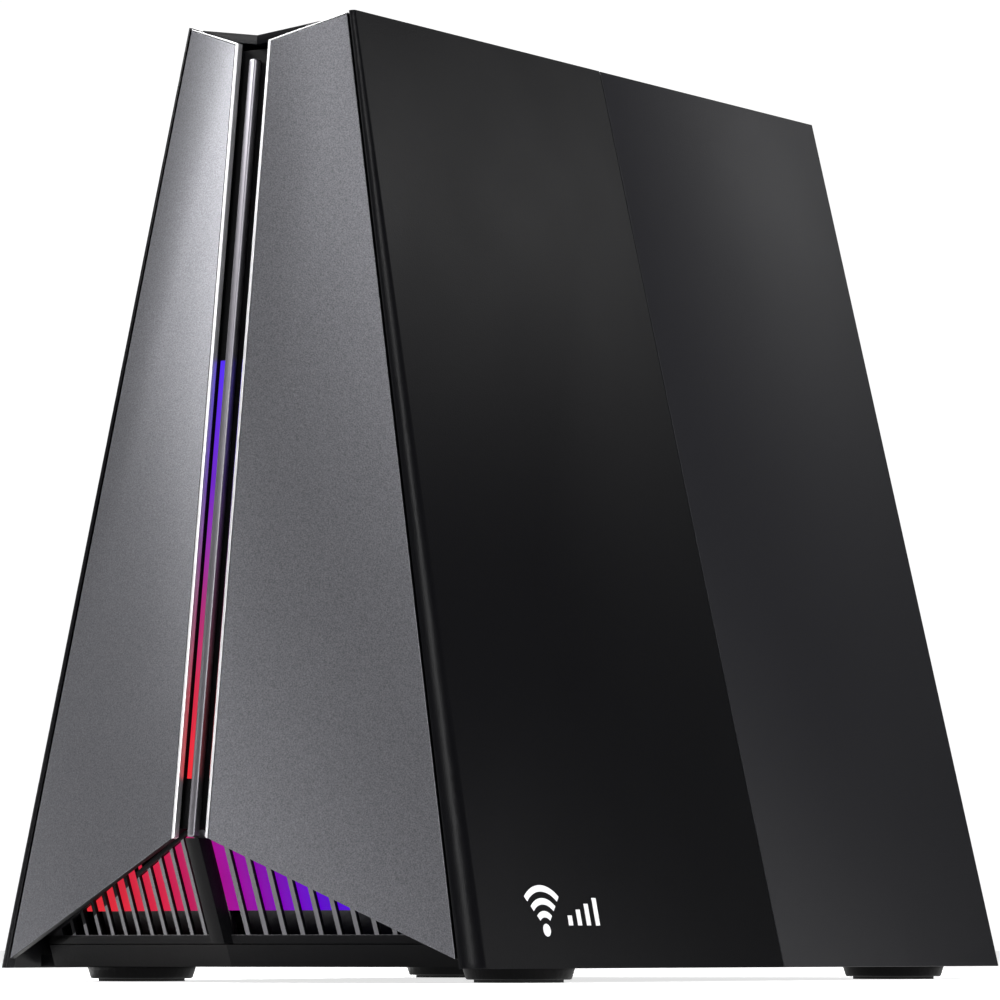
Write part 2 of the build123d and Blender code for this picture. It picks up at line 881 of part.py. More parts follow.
base_front = grille_y(0, base_bottom)
base_corner_x = (base_corner(0) + side_flare * base_front) / (1 - side_flare * grille_sweep)
base_corner_y = base_front + grille_sweep * base_corner_x
feet = [
    (front_foot[0], corner_y(shell_bottom) + front_foot[1]),
    (rear_foot[0], depth / 2 - rear_foot[1]),
]
with BuildPart() as base_plate:
    with BuildSketch(Plane.XY.offset(base_bottom)):
        with BuildLine():
            Polyline(
                (0, base_front),
                (base_corner_x, base_corner_y),
                (base_corner(base_back), base_back),
                (-base_corner(base_back), base_back),
                (-base_corner_x, base_corner_y),
                close=True,
            )
        make_face()
        for x, y in (front_ledge, rear_ledge):
            with Locations((x, y), (-x, y)):
                Circle(screw_radius + 2 * fit, mode=Mode.SUBTRACT)
    extrude(amount=base_thickness)
    for side in (1, -1):
        front = grille_plane if side > 0 else left_grille_plane
        with BuildSketch(front):
            with BuildLine():
                Polyline(
                    on_plane(front, 0, grille_y(0, base_bottom), base_bottom),
                    on_plane(front, side * grille_half, grille_y(grille_half, base_bottom), base_bottom),
                    on_plane(
                        front, side * grille_half, grille_y(grille_half, grille_low - fit), grille_low - fit
                    ),
                    on_plane(front, 0, grille_y(0, grille_low - fit), grille_low - fit),
                    close=True,
                )
            make_face()
        extrude(amount=front_wall, dir=(0, 1, 0))
    with Locations(*[(x, y, base_top + standoff / 2) for x, y in posts]):
        Cylinder(post_radius, standoff)
    with Locations(*[(x, y, base_top + standoff / 2) for x, y in posts]):
        Cylinder(pilot_radius, standoff, mode=Mode.SUBTRACT)
    # Counterbores that take the screws' heads
    for x, y in (front_ledge, rear_ledge):
        with Locations((x, y, base_bottom + head_seat / 2), (-x, y, base_bottom + head_seat / 2)):
            Cylinder(screw_head_radius + fit, head_seat, mode=Mode.SUBTRACT)
save(base_plate.part, "base_plate")

with BuildPart() as base_screws:
    for x, y in (front_ledge, rear_ledge):
        for side in (-1, 1):
            with Locations((side * x, y, base_bottom + head_seat - fit / 4 - screw_head / 2)):
                Cylinder(screw_head_radius, screw_head)
            with Locations((side * x, y, base_bottom + head_seat + screw_length / 2 - fit)):
                Cylinder(screw_radius, screw_length)
save(base_screws.part, "base_screws")

foot_names = ["foot_front", "foot_rear"]
for name, (x, y) in zip(foot_names, feet):
    with BuildPart() as foot:
        with Locations((x, y, (base_bottom + pad_height) / 2)):
            Cone(foot_radius - foot_draft, foot_radius, base_bottom - pad_height)
        with Locations((x, y, pad_seat / 2)):
            Cylinder(pad_radius + strip_fit, pad_seat + pad_height, mode=Mode.SUBTRACT)
    save_pair(foot.part, name)
with BuildPart() as foot_pads:
    for x, y in feet:
        with Locations((x, y, pad_seat / 2), (-x, y, pad_seat / 2)):
            Cylinder(pad_radius, pad_seat)
save(foot_pads.part, "foot_pads")

# ---------------------------------------------------------------- main board
board_rear = tray_back - board_inset
with BuildPart() as main_board:
    with BuildSketch(Plane.XY.offset(board_bottom)):
        with BuildLine():
            Polyline(
                (-board_front_half, board_front_y),
                (board_front_half, board_front_y),
                (board_rear_half, board_rear),
                (-board_rear_half, board_rear),
                close=True,
            )
        make_face()
        with Locations(*posts):
            Circle(board_hole_radius, mode=Mode.SUBTRACT)
    extrude(amount=board_thickness)
save(main_board.part, "main_board")


def chip_group(chips):
    """Packages standing on the main board, each given as x, y, width, length, height."""
    with BuildPart() as group:
        for x, y, wide, long, high in chips:
            with Locations((x, y, board_top + high / 2)):
                Box(wide, long, high)
    return group.part


save(chip_group(processors), "processor_chips")

with BuildPart() as rf_shield_cans:
    for x, y in shield_spots:
        with Locations((x, y, board_top + shield_height / 2)):
            Box(shield_width, shield_length, shield_height)
        with Locations((x, y, board_top + shield_height / 2 - shield_wall)):
            Box(
                shield_width - 2 * shield_wall,
                shield_length - 2 * shield_wall,
                shield_height,
                mode=Mode.SUBTRACT,
            )
save(rf_shield_cans.part, "rf_shield_cans")

processor_x, processor_y, processor_width, processor_length, processor_height = processors[0]
sink_low = board_top + processor_height + pad_thickness
with BuildPart() as thermal_pads:
    with Locations((processor_x, processor_y, board_top + processor_height + pad_thickness / 2)):
        Box(processor_width, processor_length, pad_thickness)
save(thermal_pads.part, "thermal_pads")

with BuildPart() as heatsink:
    with Locations((processor_x, processor_y, sink_low + sink_base / 2)):
        Box(sink_width, sink_length, sink_base)
    fins = int((sink_width - sink_fin) / sink_pitch) + 1
    for i in range(fins):
        x = processor_x + (i - (fins - 1) / 2) * sink_pitch
        with Locations((x, processor_y, sink_low + sink_base + sink_fin_height / 2)):
            Box(sink_fin, sink_length, sink_fin_height)
save(heatsink.part, "heatsink")

# ---------------------------------------------------------------- inner frame and antennas
frame_foot_top = board_top + frame_foot


def frame_bent(post_x, y):
    """Trestle standing on two board posts and rising inside the body."""
    with BuildPart() as bent:
        with BuildSketch(facing_rear(y - frame_width / 2)):
            for side in (-1, 1):
                with BuildLine():
                    Polyline(
                        (side * (post_x + frame_foot_half), board_top),
                        (side * (post_x - frame_foot_half), board_top),
                        (side * (post_x - frame_foot_half), frame_foot_top),
                        (side * (frame_half - frame_wall), frame_knee),
                        (side * (frame_half - frame_wall), frame_top),
                        (side * frame_half, frame_top),
                        (side * frame_half, frame_knee),
                        (side * (post_x - frame_foot_half + frame_wall), frame_foot_top),
                        (side * (post_x + frame_foot_half), frame_foot_top),
                        close=True,
                    )
                make_face()
            for z in frame_ties:
                with Locations((0, z)):
                    Rectangle(2 * frame_half, frame_wall)
        extrude(amount=frame_width)
        with Locations(*[(side * post_x, y, board_top) for side in (-1, 1)]):
            Cylinder(board_hole_radius, 4 * frame_foot, mode=Mode.SUBTRACT)
    return bent.part


(front_post_x, front_post_y), (rear_post_x, rear_post_y) = board_posts
with BuildPart() as inner_frame:
    add(frame_bent(front_post_x, front_post_y))
    add(frame_bent(rear_post_x, rear_post_y))
    for z in frame_ties:
        for side in (-1, 1):
            with Locations(
                (side * (frame_half - frame_wall / 2), (front_post_y + rear_post_y) / 2, z)
            ):
                Box(frame_wall, rear_post_y - front_post_y, frame_rail)
save(inner_frame.part, "inner_frame")

antenna_x = frame_half + antenna_gap + antenna_thickness / 2
antenna_spots = [(side * antenna_x, y) for side in (-1, 1) for y in antenna_ys]
for number, (x, y) in enumerate(antenna_spots, 1):
    with BuildPart() as antenna:
        with Locations((x, y, (frame_ties[0] + frame_ties[1]) / 2)):
            Box(antenna_thickness, antenna_width, frame_ties[1] - frame_ties[0] + antenna_width)
    save(antenna.part, f"antenna_{number}")

antenna_foot = frame_ties[0] - antenna_width / 2
lead_x = antenna_x + antenna_thickness / 2 + lead_radius + strip_fit
with BuildPart() as antenna_leads:
    for side in (-1, 1):
        for i, y in enumerate(antenna_ys):
            with BuildLine() as path:
                FilletPolyline(
                    (side * lead_x, y, antenna_foot + antenna_width),
                    (side * lead_x, y, lead_turn + lead_step * i),
                    (side * lead_board_x, y + lead_shift, lead_turn + lead_step * i - lead_drop),
                    (side * lead_board_x, y + lead_shift, board_top + connector_height + strip_fit),
                    radius=lead_bend,
                )
            with BuildSketch(Plane(origin=path.line @ 0, z_dir=path.line % 0)):
                Circle(lead_radius)
            sweep(path=path.line)
save(antenna_leads.part, "antenna_leads")

with BuildPart() as antenna_connectors:
    for side in (-1, 1):
        for y in antenna_ys:
            with Locations((side * lead_board_x, y + lead_shift, board_top + connector_height / 2)):
                Cylinder(connector_radius, connector_height)
save(antenna_connectors.part, "antenna_connectors")

# ---------------------------------------------------------------- jacks
for number, x in enumerate(jack_xs, 1):
    with BuildPart() as jack:
        y = tray_face + port_proud
        with Locations((x, y - jack_depth / 2, jack_middle)):
            Box(jack_width, jack_depth, jack_height)
        fillet(edges().filter_by(Axis.Y), jack_round)
        socket_z = board_top + jack_floor
        with BuildSketch(facing_rear(y)):
            with Locations((-x, socket_z + socket_height / 2)):
                Rectangle(socket_width, socket_height)
            with Locations((-x, socket_z + socket_height + latch_height / 2)):
                Rectangle(latch_width, latch_height)
        extrude(amount=-socket_depth, mode=Mode.SUBTRACT)
    save(jack.part, f"ethernet_jack_{number}")

usb_z = board_top + usb_height / 2
usb_back = tray_face + port_proud - usb_depth
with BuildPart() as usb_shell:
    with Locations((usb_x, usb_back + usb_depth / 2, usb_z)):
        Box(usb_width, usb_depth, usb_height)
    with Locations((usb_x, usb_back + usb_depth / 2 + usb_wall, usb_z)):
        Box(usb_width - 2 * usb_wall, usb_depth, usb_height - 2 * usb_wall, mode=Mode.SUBTRACT)
save(usb_shell.part, "usb_shell")
block = usb_depth / 4
with BuildPart() as usb_tongue:
    with Locations((usb_x, usb_back + usb_wall + strip_fit + block / 2, usb_z)):
        Box(usb_width - 2 * usb_wall - fit, block, usb_height - 2 * usb_wall - fit)
    with Locations((usb_x + usb_tongue_shift, usb_back + usb_depth / 2 + usb_wall, usb_z)):
        Box(usb_tongue_thickness, usb_depth - 3 * usb_wall, usb_height - 4 * usb_wall)
save(usb_tongue.part, "usb_tongue")

inlet_z = board_top + inlet_height / 2
inlet_face = tray_face + port_proud
with BuildPart() as dc_jack:
    with Locations((inlet_x, inlet_face - inlet_depth / 2, inlet_z)):
        Box(inlet_width, inlet_depth, inlet_height)
    fillet(edges().filter_by(Axis.Y), jack_round)
    with BuildSketch(facing_rear(inlet_face)):
        with Locations((-inlet_x, inlet_z)):
            Circle(inlet_bore)
    extrude(amount=-inlet_bore_depth, mode=Mode.SUBTRACT)
    with BuildSketch(facing_rear(inlet_face - inlet_bore_depth)):
        with Locations((-inlet_x, inlet_z)):
            Circle(inlet_pin)
    extrude(amount=inlet_bore_depth - inlet_pin)
save(dc_jack.part, "dc_jack")

# ---------------------------------------------------------------- buttons and switches
flange_front = tray_back - stem_gap


def slider(x, z, radius, front, travel):
    """Round cap with a flange inside the tray and a stem that works its switch."""
    flange_back = flange_front - flange_thickness
    with BuildPart() as cap:
        with BuildSketch(facing_rear(flange_back)):
            with Locations((-x, z)):
                Circle(radius)
        extrude(amount=front - flange_back)
        if radius > 2 * cap_round:
            fillet(faces().sort_by(Axis.Y)[-1].edges(), cap_round)
        with BuildSketch(facing_rear(flange_back)):
            with Locations((-x, z)):
                Circle(radius + flange_step)
        extrude(amount=flange_thickness)
        with BuildSketch(facing_rear(flange_back)):
            with Locations((-x, z)):
                Circle(stem_radius)
        extrude(amount=-(travel + stem_air + stem_engaged))
    return cap.part


def switch_body(x, z, travel, size, length):
    """Switch block behind a button, with a blind hole that the stem slides in."""
    mouth = flange_front - flange_thickness - travel - stem_air
    with BuildPart() as body:
        with Locations((x, mouth - length / 2, z)):
            Box(size, length, size)
        with BuildSketch(facing_rear(mouth)):
            with Locations((-x, z)):
                Circle(stem_radius + stem_gap)
        extrude(amount=-(stem_engaged + travel + stem_air), mode=Mode.SUBTRACT)
    return body.part


caps = {
    "power": (power_x, power_z, power_radius, tray_face + power_proud, power_travel),
    "wps": (key_xs["wps"], key_z, key_radius, tray_face + key_proud, key_travel),
    "light": (key_xs["light"], key_z, key_radius, tray_face + key_proud, key_travel),
    "reset": (reset_x, key_z, reset_radius, tray_face - reset_recess, key_travel),
}
for name, (x, z, radius, front, travel) in caps.items():
    save(slider(x, z, radius, front, travel), f"{name}_button")
key_mouth = flange_front - flange_thickness - key_travel - stem_air
save(
    switch_body(power_x, power_z, power_travel, power_switch_size, power_switch_length),
    "power_switch",
)
with BuildPart() as key_switches:
    for x in (*key_xs.values(), reset_x):
        add(switch_body(x, key_z, key_travel, key_switch_size, key_mouth - key_board_back))
save(key_switches.part, "key_switches")

with BuildPart() as key_board:
    with BuildSketch(facing_rear(key_board_back)):
        with Locations((-(key_xs["wps"] + reset_x) / 2, key_z)):
            Rectangle(key_xs["wps"] - reset_x + 2 * key_board_margin, 2 * key_board_margin)
        for x, z in key_posts:
            with Locations((-x, z)):
                Circle(board_hole_radius, mode=Mode.SUBTRACT)
    extrude(amount=-board_thickness)
save(key_board.part, "key_board")

# ---------------------------------------------------------------- board screws
with BuildPart() as board_screws:
    for x, y in posts:
        with Locations((x, y, frame_foot_top + strip_fit + screw_head / 2)):
            Cylinder(screw_head_radius, screw_head)
        with Locations((x, y, frame_foot_top + strip_fit - screw_length / 2)):
            Cylinder(screw_radius, screw_length)
    for x, z in key_posts:
        with BuildSketch(facing_rear(key_board_back - board_thickness - strip_fit)):
            with Locations((-x, z)):
                Circle(screw_head_radius)
        extrude(amount=-screw_head)
        with BuildSketch(facing_rear(key_board_back - board_thickness - strip_fit)):
            with Locations((-x, z)):
                Circle(screw_radius)
        extrude(amount=key_post_length)
save(board_screws.part, "board_screws")
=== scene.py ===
"""Looks for a tower-style wireless router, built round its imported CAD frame.

Every piece is in metres in the frame's own axes: +Y runs from the lit front to the ports, +Z is up.
"""

from __future__ import annotations

import json
import logging
import math
import random
from collections.abc import Callable
from dataclasses import dataclass, field
from enum import Enum

import bmesh
import bpy
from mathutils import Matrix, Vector
from mathutils.bvhtree import BVHTree

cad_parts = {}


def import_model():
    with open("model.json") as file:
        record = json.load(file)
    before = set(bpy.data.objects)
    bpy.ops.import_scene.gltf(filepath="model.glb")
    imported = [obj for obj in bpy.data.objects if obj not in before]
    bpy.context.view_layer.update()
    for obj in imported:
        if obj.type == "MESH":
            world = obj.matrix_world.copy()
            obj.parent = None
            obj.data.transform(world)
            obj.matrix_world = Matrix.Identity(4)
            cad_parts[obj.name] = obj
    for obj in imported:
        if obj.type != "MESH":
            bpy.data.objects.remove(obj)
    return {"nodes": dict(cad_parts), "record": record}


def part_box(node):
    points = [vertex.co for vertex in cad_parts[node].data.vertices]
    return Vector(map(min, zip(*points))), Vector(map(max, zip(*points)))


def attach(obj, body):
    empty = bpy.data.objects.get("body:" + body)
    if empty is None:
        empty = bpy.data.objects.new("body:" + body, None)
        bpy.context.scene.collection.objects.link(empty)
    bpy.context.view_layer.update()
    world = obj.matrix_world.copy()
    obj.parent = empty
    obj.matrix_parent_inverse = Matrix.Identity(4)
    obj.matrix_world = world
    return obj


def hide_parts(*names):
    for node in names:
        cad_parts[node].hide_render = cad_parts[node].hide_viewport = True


Socket = bpy.types.NodeSocket
Tree = bpy.types.NodeTree

Corners = tuple[Vector, Vector]
Outline = list[tuple[float, float]]
Spots = list[tuple[float, float, float]]

MM = 0.001
HOUSING = "housing"
FACING = 0.5  # how far a face's normal points along an axis before it counts as facing that way
log = logging.getLogger("router")


# ------------------------------------------------------------------ small helpers
def linear(colour: str) -> tuple[float, float, float, float]:
    """Turns an sRGB hex colour into the linear values that shaders take.

    Args:
        colour: six hex digits, with or without a leading #.

    Returns:
        Linear red, green and blue, and an alpha of one.
    """
    digits = colour.lstrip("#")
    channels = [int(digits[i : i + 2], 16) / 255 for i in (0, 2, 4)]
    red, green, blue = (
        c / 12.92 if c <= 0.04045 else ((c + 0.055) / 1.055) ** 2.4 for c in channels
    )
    return (red, green, blue, 1.0)


def add_node(
    tree: Tree,
    kind: str,
    settings: dict[str, object] | None = None,
    inputs: dict[str | int, object] | None = None,
) -> bpy.types.Node:
    """Adds a node with its settings and links.

    Args:
        tree: the node tree that gets the node.
        kind: the node's type name.
        settings: attributes of the node and their values.
        inputs: input names or numbers, each with a value or with the socket that feeds it.

    Returns:
        The new node.
    """
    node = tree.nodes.new(kind)
    for name, value in (settings or {}).items():
        setattr(node, name, value)
    for name, value in (inputs or {}).items():
        if isinstance(value, Socket):
            tree.links.new(value, node.inputs[name])
        else:
            node.inputs[name].default_value = value
    return node


def ramp(node: bpy.types.Node, stops: list[tuple[float, str]]) -> None:
    """Fills a colour ramp.

    Args:
        node: the colour ramp node.
        stops: positions from zero to one, each with an sRGB hex colour.
    """
    elements = node.color_ramp.elements
    while len(elements) > 1:
        elements.remove(elements[-1])
    elements[0].position, elements[0].color = stops[0][0], linear(stops[0][1])
    for position, colour in stops[1:]:
        elements.new(position).color = linear(colour)


def noise(tree: Tree, place: Socket, scale: float, detail: float) -> Socket:
    """Adds a noise texture.

    Args:
        tree: the material's nodes.
        place: coordinates it is read at, in metres.
        scale: how many of its lumps lie along a metre.
        detail: how many finer layers it has.

    Returns:
        Its value, from zero to one.
    """
    inputs = {"Vector": place, "Scale": scale, "Detail": detail}
    return add_node(tree, "ShaderNodeTexNoise", inputs=inputs).outputs["Fac"]


def remap(
    tree: Tree, value: Socket, to: tuple[float, float], source: tuple[float, float] = (0.0, 1.0)
) -> Socket:
    """Maps a value from one range to another.

    Args:
        tree: the material's nodes.
        value: what is mapped.
        to: what the ends of the source range become.
        source: the range that the value comes in.

    Returns:
        The mapped value, held inside its range.
    """
    inputs = {"Value": value, "From Min": source[0], "From Max": source[1], "To Min": to[0], "To Max": to[1]}
    return add_node(tree, "ShaderNodeMapRange", inputs=inputs).outputs[0]


def bumped(tree: Tree, height: Socket, strength: float, depth_mm: float) -> Socket:
    """Turns a height into a bumped normal.

    Args:
        tree: the material's nodes.
        height: the surface's relief, from zero to one.
        strength: how much of the relief shows.
        depth_mm: how deep the whole relief is.

    Returns:
        The normal for a shader.
    """
    inputs = {"Strength": strength, "Distance": depth_mm * MM, "Height": height}
    return add_node(tree, "ShaderNodeBump", inputs=inputs).outputs[0]


def toned(tree: Tree, colour: str, level: Socket) -> Socket:
    """Makes a colour lighter or darker from place to place.

    Args:
        tree: the material's nodes.
        colour: six hex digits.
        level: how light it is, with one for the colour itself.

    Returns:
        The colour's socket.
    """
    inputs = {0: linear(colour)[:3], "Scale": level}
    return add_node(tree, "ShaderNodeVectorMath", {"operation": "SCALE"}, inputs).outputs[0]


def principled(tree: Tree, inputs: dict[str | int, object]) -> Socket:
    """Returns the socket of a new surface shader with these inputs."""
    return add_node(tree, "ShaderNodeBsdfPrincipled", inputs=inputs).outputs[0]


# ------------------------------------------------------------------ finishes
@dataclass(frozen=True)
class Finish:
    """A finish: its material's name, colour and how it scatters light."""

    name: str
    colour: str
    roughness: float = 0.5

    def material(self) -> bpy.types.Material:
        """Makes this finish's material the first time, and finds it again after that.

        Returns:
            The node material under the finish's name.
        """
        found = bpy.data.materials.get(self.name)
        if found:
            return found
        material = bpy.data.materials.new(self.name)
        material.use_nodes = True
        tree = material.node_tree
        tree.nodes.clear()
        output = add_node(tree, "ShaderNodeOutputMaterial")
        place = add_node(tree, "ShaderNodeTexCoord")
        shader = self.shade(tree, place.outputs["Object"])
        tree.links.new(shader, output.inputs["Surface"])
        return material

    def shade(self, tree: Tree, place: Socket) -> Socket:
        """Builds the shader.

        Args:
            tree: the material's nodes.
            place: Object coordinates, in metres.

        Returns:
            The shader socket that goes to the output.
        """
        raise NotImplementedError


@dataclass(frozen=True)
class Moulded(Finish):
    """Injection-moulded ABS from a textured tool: a fine grain that breaks up every reflection."""

    grain_mm: float = 0.35
    depth: float = 0.15
    mottle: float = 0.12
    metallic: float = 0.0
    specular: float = 0.5

    def shade(self, tree: Tree, place: Socket) -> Socket:
        """Grain in the bump and, less, in the colour and gloss.

        Args:
            tree: the material's nodes.
            place: Object coordinates, in metres.

        Returns:
            The shader socket.
        """
        grain = noise(tree, place, 1 / (self.grain_mm * MM), 2.0)
        tone = remap(tree, grain, (1 - self.mottle, 1 + self.mottle), (0.3, 0.7))
        cloud = noise(tree, place, 30.0, 3.0)
        gloss = remap(tree, cloud, (self.roughness - 0.04, self.roughness + 0.04))
        inputs = {
            "Base Color": toned(tree, self.colour, tone),
            "Roughness": gloss,
            "Metallic": self.metallic,
            "Specular IOR Level": self.specular,
            "Normal": bumped(tree, grain, self.depth, self.grain_mm),
        }
        return principled(tree, inputs)


@dataclass(frozen=True)
class RibPlastic(Moulded):
    """Moulded grille whose ribs are satin grey above their dark foot rail; along the top, under the soffit,
    painted shade makes them dark.
    """

    foot_mm: float = 9.65
    # Height and slope of the line above which painted shade darkens the ribs
    shade_line_mm: float = 31.25
    shade_line_slope: float = 0.486
    step_mm: float = 0.05
    # How dark the foot rail is, and how dark the painted shade makes the ribs, in colour and in shine
    dark: float = 0.06
    dark_shine: float = 0.02

    def shade(self, tree: Tree, place: Socket) -> Socket:
        """Two hard steps over a fine grain: the dark foot rail, and painted shade above the sloping line
        under the soffit.

        Args:
            tree: the material's nodes.
            place: Object coordinates, in metres.

        Returns:
            The shader socket.
        """
        upright = add_node(tree, "ShaderNodeVectorMath", {"operation": "ABSOLUTE"}, {0: place})
        slope = {0: upright.outputs[0], 1: (self.shade_line_slope, 0.0, 1.0)}
        brow = add_node(tree, "ShaderNodeVectorMath", {"operation": "DOT_PRODUCT"}, slope)
        # Painted shade: above this sloping line under the soffit, the ribs turn dark and lose their shine
        painted_shade_step = (self.shade_line_mm * MM, (self.shade_line_mm + self.step_mm) * MM)
        above = remap(tree, brow.outputs["Value"], (1.0, self.dark), painted_shade_step)
        axes = add_node(tree, "ShaderNodeSeparateXYZ", inputs={"Vector": place})
        foot_step = ((self.foot_mm - self.step_mm) * MM, self.foot_mm * MM)
        below = remap(tree, axes.outputs["Z"], (self.dark, 1.0), foot_step)
        both = {0: above, 1: below}
        # The mask holds the foot rail's own dark and the painted shade under the soffit
        rail_and_shade_mask = add_node(tree, "ShaderNodeMath", {"operation": "MULTIPLY"}, both).outputs[0]
        grain = noise(tree, place, 1 / (self.grain_mm * MM), 2.0)
        inputs = {
            "Base Color": toned(tree, self.colour, rail_and_shade_mask),
            "Roughness": self.roughness,
            "Specular IOR Level": remap(tree, rail_and_shade_mask, (self.dark_shine, self.specular)),
            "Normal": bumped(tree, grain, self.depth, self.grain_mm),
        }
        return principled(tree, inputs)


@dataclass(frozen=True)
class Metal(Finish):
    """Drawn, polished or tinned metal: streaks or speckle that follow how it was worked."""

    streak: tuple[float, float, float] = (1.0, 1.0, 0.05)
    grain_mm: float = 0.2
    depth: float = 0.1
    relief_mm: float = 0.05

    def shade(self, tree: Tree, place: Socket) -> Socket:
        """Stretched noise in the gloss and the bump.

        Args:
            tree: the material's nodes.
            place: Object coordinates, in metres.

        Returns:
            The shader socket.
        """
        stretch = {"Vector": place, "Scale": self.streak}
        mapping = add_node(tree, "ShaderNodeMapping", inputs=stretch)
        grain = noise(tree, mapping.outputs[0], 1 / (self.grain_mm * MM), 3.0)
        inputs = {
            "Base Color": linear(self.colour),
            "Metallic": 1.0,
            "Roughness": remap(tree, grain, (self.roughness * 0.8, self.roughness * 1.25)),
            "Normal": bumped(tree, grain, self.depth, self.relief_mm),
        }
        return principled(tree, inputs)


class Along(Enum):
    """The axis a light's colours change along."""

    ACROSS = "X"
    UP = "Z"


@dataclass(frozen=True)
class LitPlastic(Finish):
    """Clear or milky acrylic lit from inside: it glows, with a soft gloss on top."""

    along: Along = Along.UP
    low_mm: float = 0.0
    high_mm: float = 100.0
    stops: tuple[tuple[float, str], ...] = ((0.0, "#FF0000"), (1.0, "#0000FF"))
    strength: float = 1.0
    specular: float = 0.06

    def shade(self, tree: Tree, place: Socket) -> Socket:
        """A gradient of light colours, a little uneven as real light guides are.

        Args:
            tree: the material's nodes.
            place: Object coordinates, in metres.

        Returns:
            The shader socket.
        """
        axes = add_node(tree, "ShaderNodeSeparateXYZ", inputs={"Vector": place})
        ends = (self.low_mm * MM, self.high_mm * MM)
        share = remap(tree, axes.outputs[self.along.value], (0.0, 1.0), ends)
        hue = add_node(tree, "ShaderNodeValToRGB", inputs={"Fac": share})
        ramp(hue, list(self.stops))
        uneven = noise(tree, place, 120.0, 1.0)
        inputs = {
            "Base Color": linear(self.colour),
            "Roughness": self.roughness,
            "Specular IOR Level": self.specular,
            "Emission Color": hue.outputs[0],
            "Emission Strength": remap(tree, uneven, (self.strength * 0.85, self.strength * 1.15)),
        }
        return principled(tree, inputs)


@dataclass(frozen=True)
class SolderMask(Finish):
    """Circuit board lacquer: copper tracks show through it as a slightly lighter, raised pattern."""

    track_mm: float = 2.4
    relief_mm: float = 0.03

    def shade(self, tree: Tree, place: Socket) -> Socket:
        """Brick lines for the tracks, lighter than the lacquer between them.

        Args:
            tree: the material's nodes.
            place: Object coordinates, in metres.

        Returns:
            The shader socket.
        """
        lines = {
            "Vector": place,
            "Color1": linear("#000000"),
            "Color2": (0.15, 0.15, 0.15, 1.0),
            "Mortar": linear("#FFFFFF"),
            "Scale": 1 / (self.track_mm * MM),
            "Mortar Size": 0.06,
            "Mortar Smooth": 0.2,
        }
        pattern = {"offset": 0.37, "squash": 1.6, "squash_frequency": 3}
        tracks = add_node(tree, "ShaderNodeTexBrick", pattern, lines).outputs["Color"]
        inputs = {
            "Base Color": toned(tree, self.colour, remap(tree, tracks, (0.8, 1.7))),
            "Roughness": self.roughness,
            "Normal": bumped(tree, tracks, 0.2, self.relief_mm),
        }
        return principled(tree, inputs)


@dataclass(frozen=True)
class StudioPaper(Finish):
    """Backlit white paper: it stays white under the router and still takes a faint shadow."""

    glow: float = 0.75

    def shade(self, tree: Tree, place: Socket) -> Socket:
        """Fine fibre in the tone, with an even glow.

        Args:
            tree: the material's nodes.
            place: Object coordinates, in metres.

        Returns:
            The shader socket.
        """
        fibre = noise(tree, place, 300.0, 3.0)
        inputs = {
            "Base Color": toned(tree, self.colour, remap(tree, fibre, (0.97, 1.03))),
            "Roughness": self.roughness,
            "Specular IOR Level": 0.0,
            "Emission Color": linear("#FFFFFF"),
            "Emission Strength": self.glow,
        }
        return principled(tree, inputs)


# Fine-grained ABS with metal flake paint: light grey where it faces the lamps, speckled close to
WING_GREY = Moulded(
    "metallic_painted_abs", "#57575B", 0.44, grain_mm=0.28, depth=0.12, mottle=0.34, metallic=0.7
)
# Diamond-cut edge of the wing: bright line along the channel and the top
CUT_EDGE = Metal("diamond_cut_aluminium", "#DCDCDE", 0.45, grain_mm=0.15, depth=0.05)
# Anodised strip: satin, dark at its sides
SATIN_FIN = Metal("satin_aluminium", "#716F74", 0.4, grain_mm=0.12, depth=0.08)
# Matt ABS from a fine-grained tool: nearly black, grey only where it mirrors a lamp
SHELL_BLACK = Moulded(
    "fine_grained_black_abs", "#040406", 0.38, grain_mm=0.3, depth=0.1, mottle=0.2, specular=0.085
)
# The same tool finish on the rear mouldings, which read a shade greyer
REAR_BLACK = Moulded(
    "fine_grained_grey_black_abs", "#121216", 0.42, grain_mm=0.3, depth=0.1, mottle=0.2, specular=0.22
)
# Plain moulded ABS of the inner structure, the base and the prow
STRUCTURE_BLACK = Moulded(
    "black_abs", "#050506", 0.42, grain_mm=0.6, depth=0.08, mottle=0.06, specular=0.08
)
# Satin-sprayed ribs: their faces stand out grey from the dark between them, and painted shade darkens their
# tops under the soffit
RIB_GREY = RibPlastic("satin_grey_abs", "#49484C", 0.36, grain_mm=0.4, depth=0.06)
# Soft, matt and slightly dusty: the pads the router stands on
RUBBER = Moulded("moulded_rubber", "#121212", 0.8, grain_mm=0.5, depth=0.2, mottle=0.08)
# Clear light guide: red at the foot through purple to blue at the tip
STRIP_LIGHT = LitPlastic(
    "lit_clear_acrylic",
    "#08020A",
    0.25,
    along=Along.UP,
    low_mm=41.0,
    high_mm=127.2,
    stops=((0.0, "#E0282E"), (0.22, "#C42A46"), (0.45, "#9C2E7C"), (0.7, "#6A26BC"), (1.0, "#4E2CE4")),
    strength=1.15,
)
# Milky diffuser behind the ribs: red on one side through magenta to blue on the other
GLOW_LIGHT = LitPlastic(
    "lit_milky_acrylic",
    "#0A0208",
    0.5,
    along=Along.ACROSS,
    low_mm=-36.0,
    high_mm=33.0,
    stops=(
        (0.0, "#F0303A"),
        (0.3, "#E4284E"),
        (0.47, "#C01C6C"),
        (0.53, "#B40E98"),
        (0.66, "#9000B4"),
        (0.82, "#6800DC"),
        (1.0, "#4400E8"),
    ),
    strength=0.82,
)
# Green lacquer over copper tracks on the main and key boards
BOARD_GREEN = SolderMask("green_solder_mask", "#0E4A2C", 0.35)
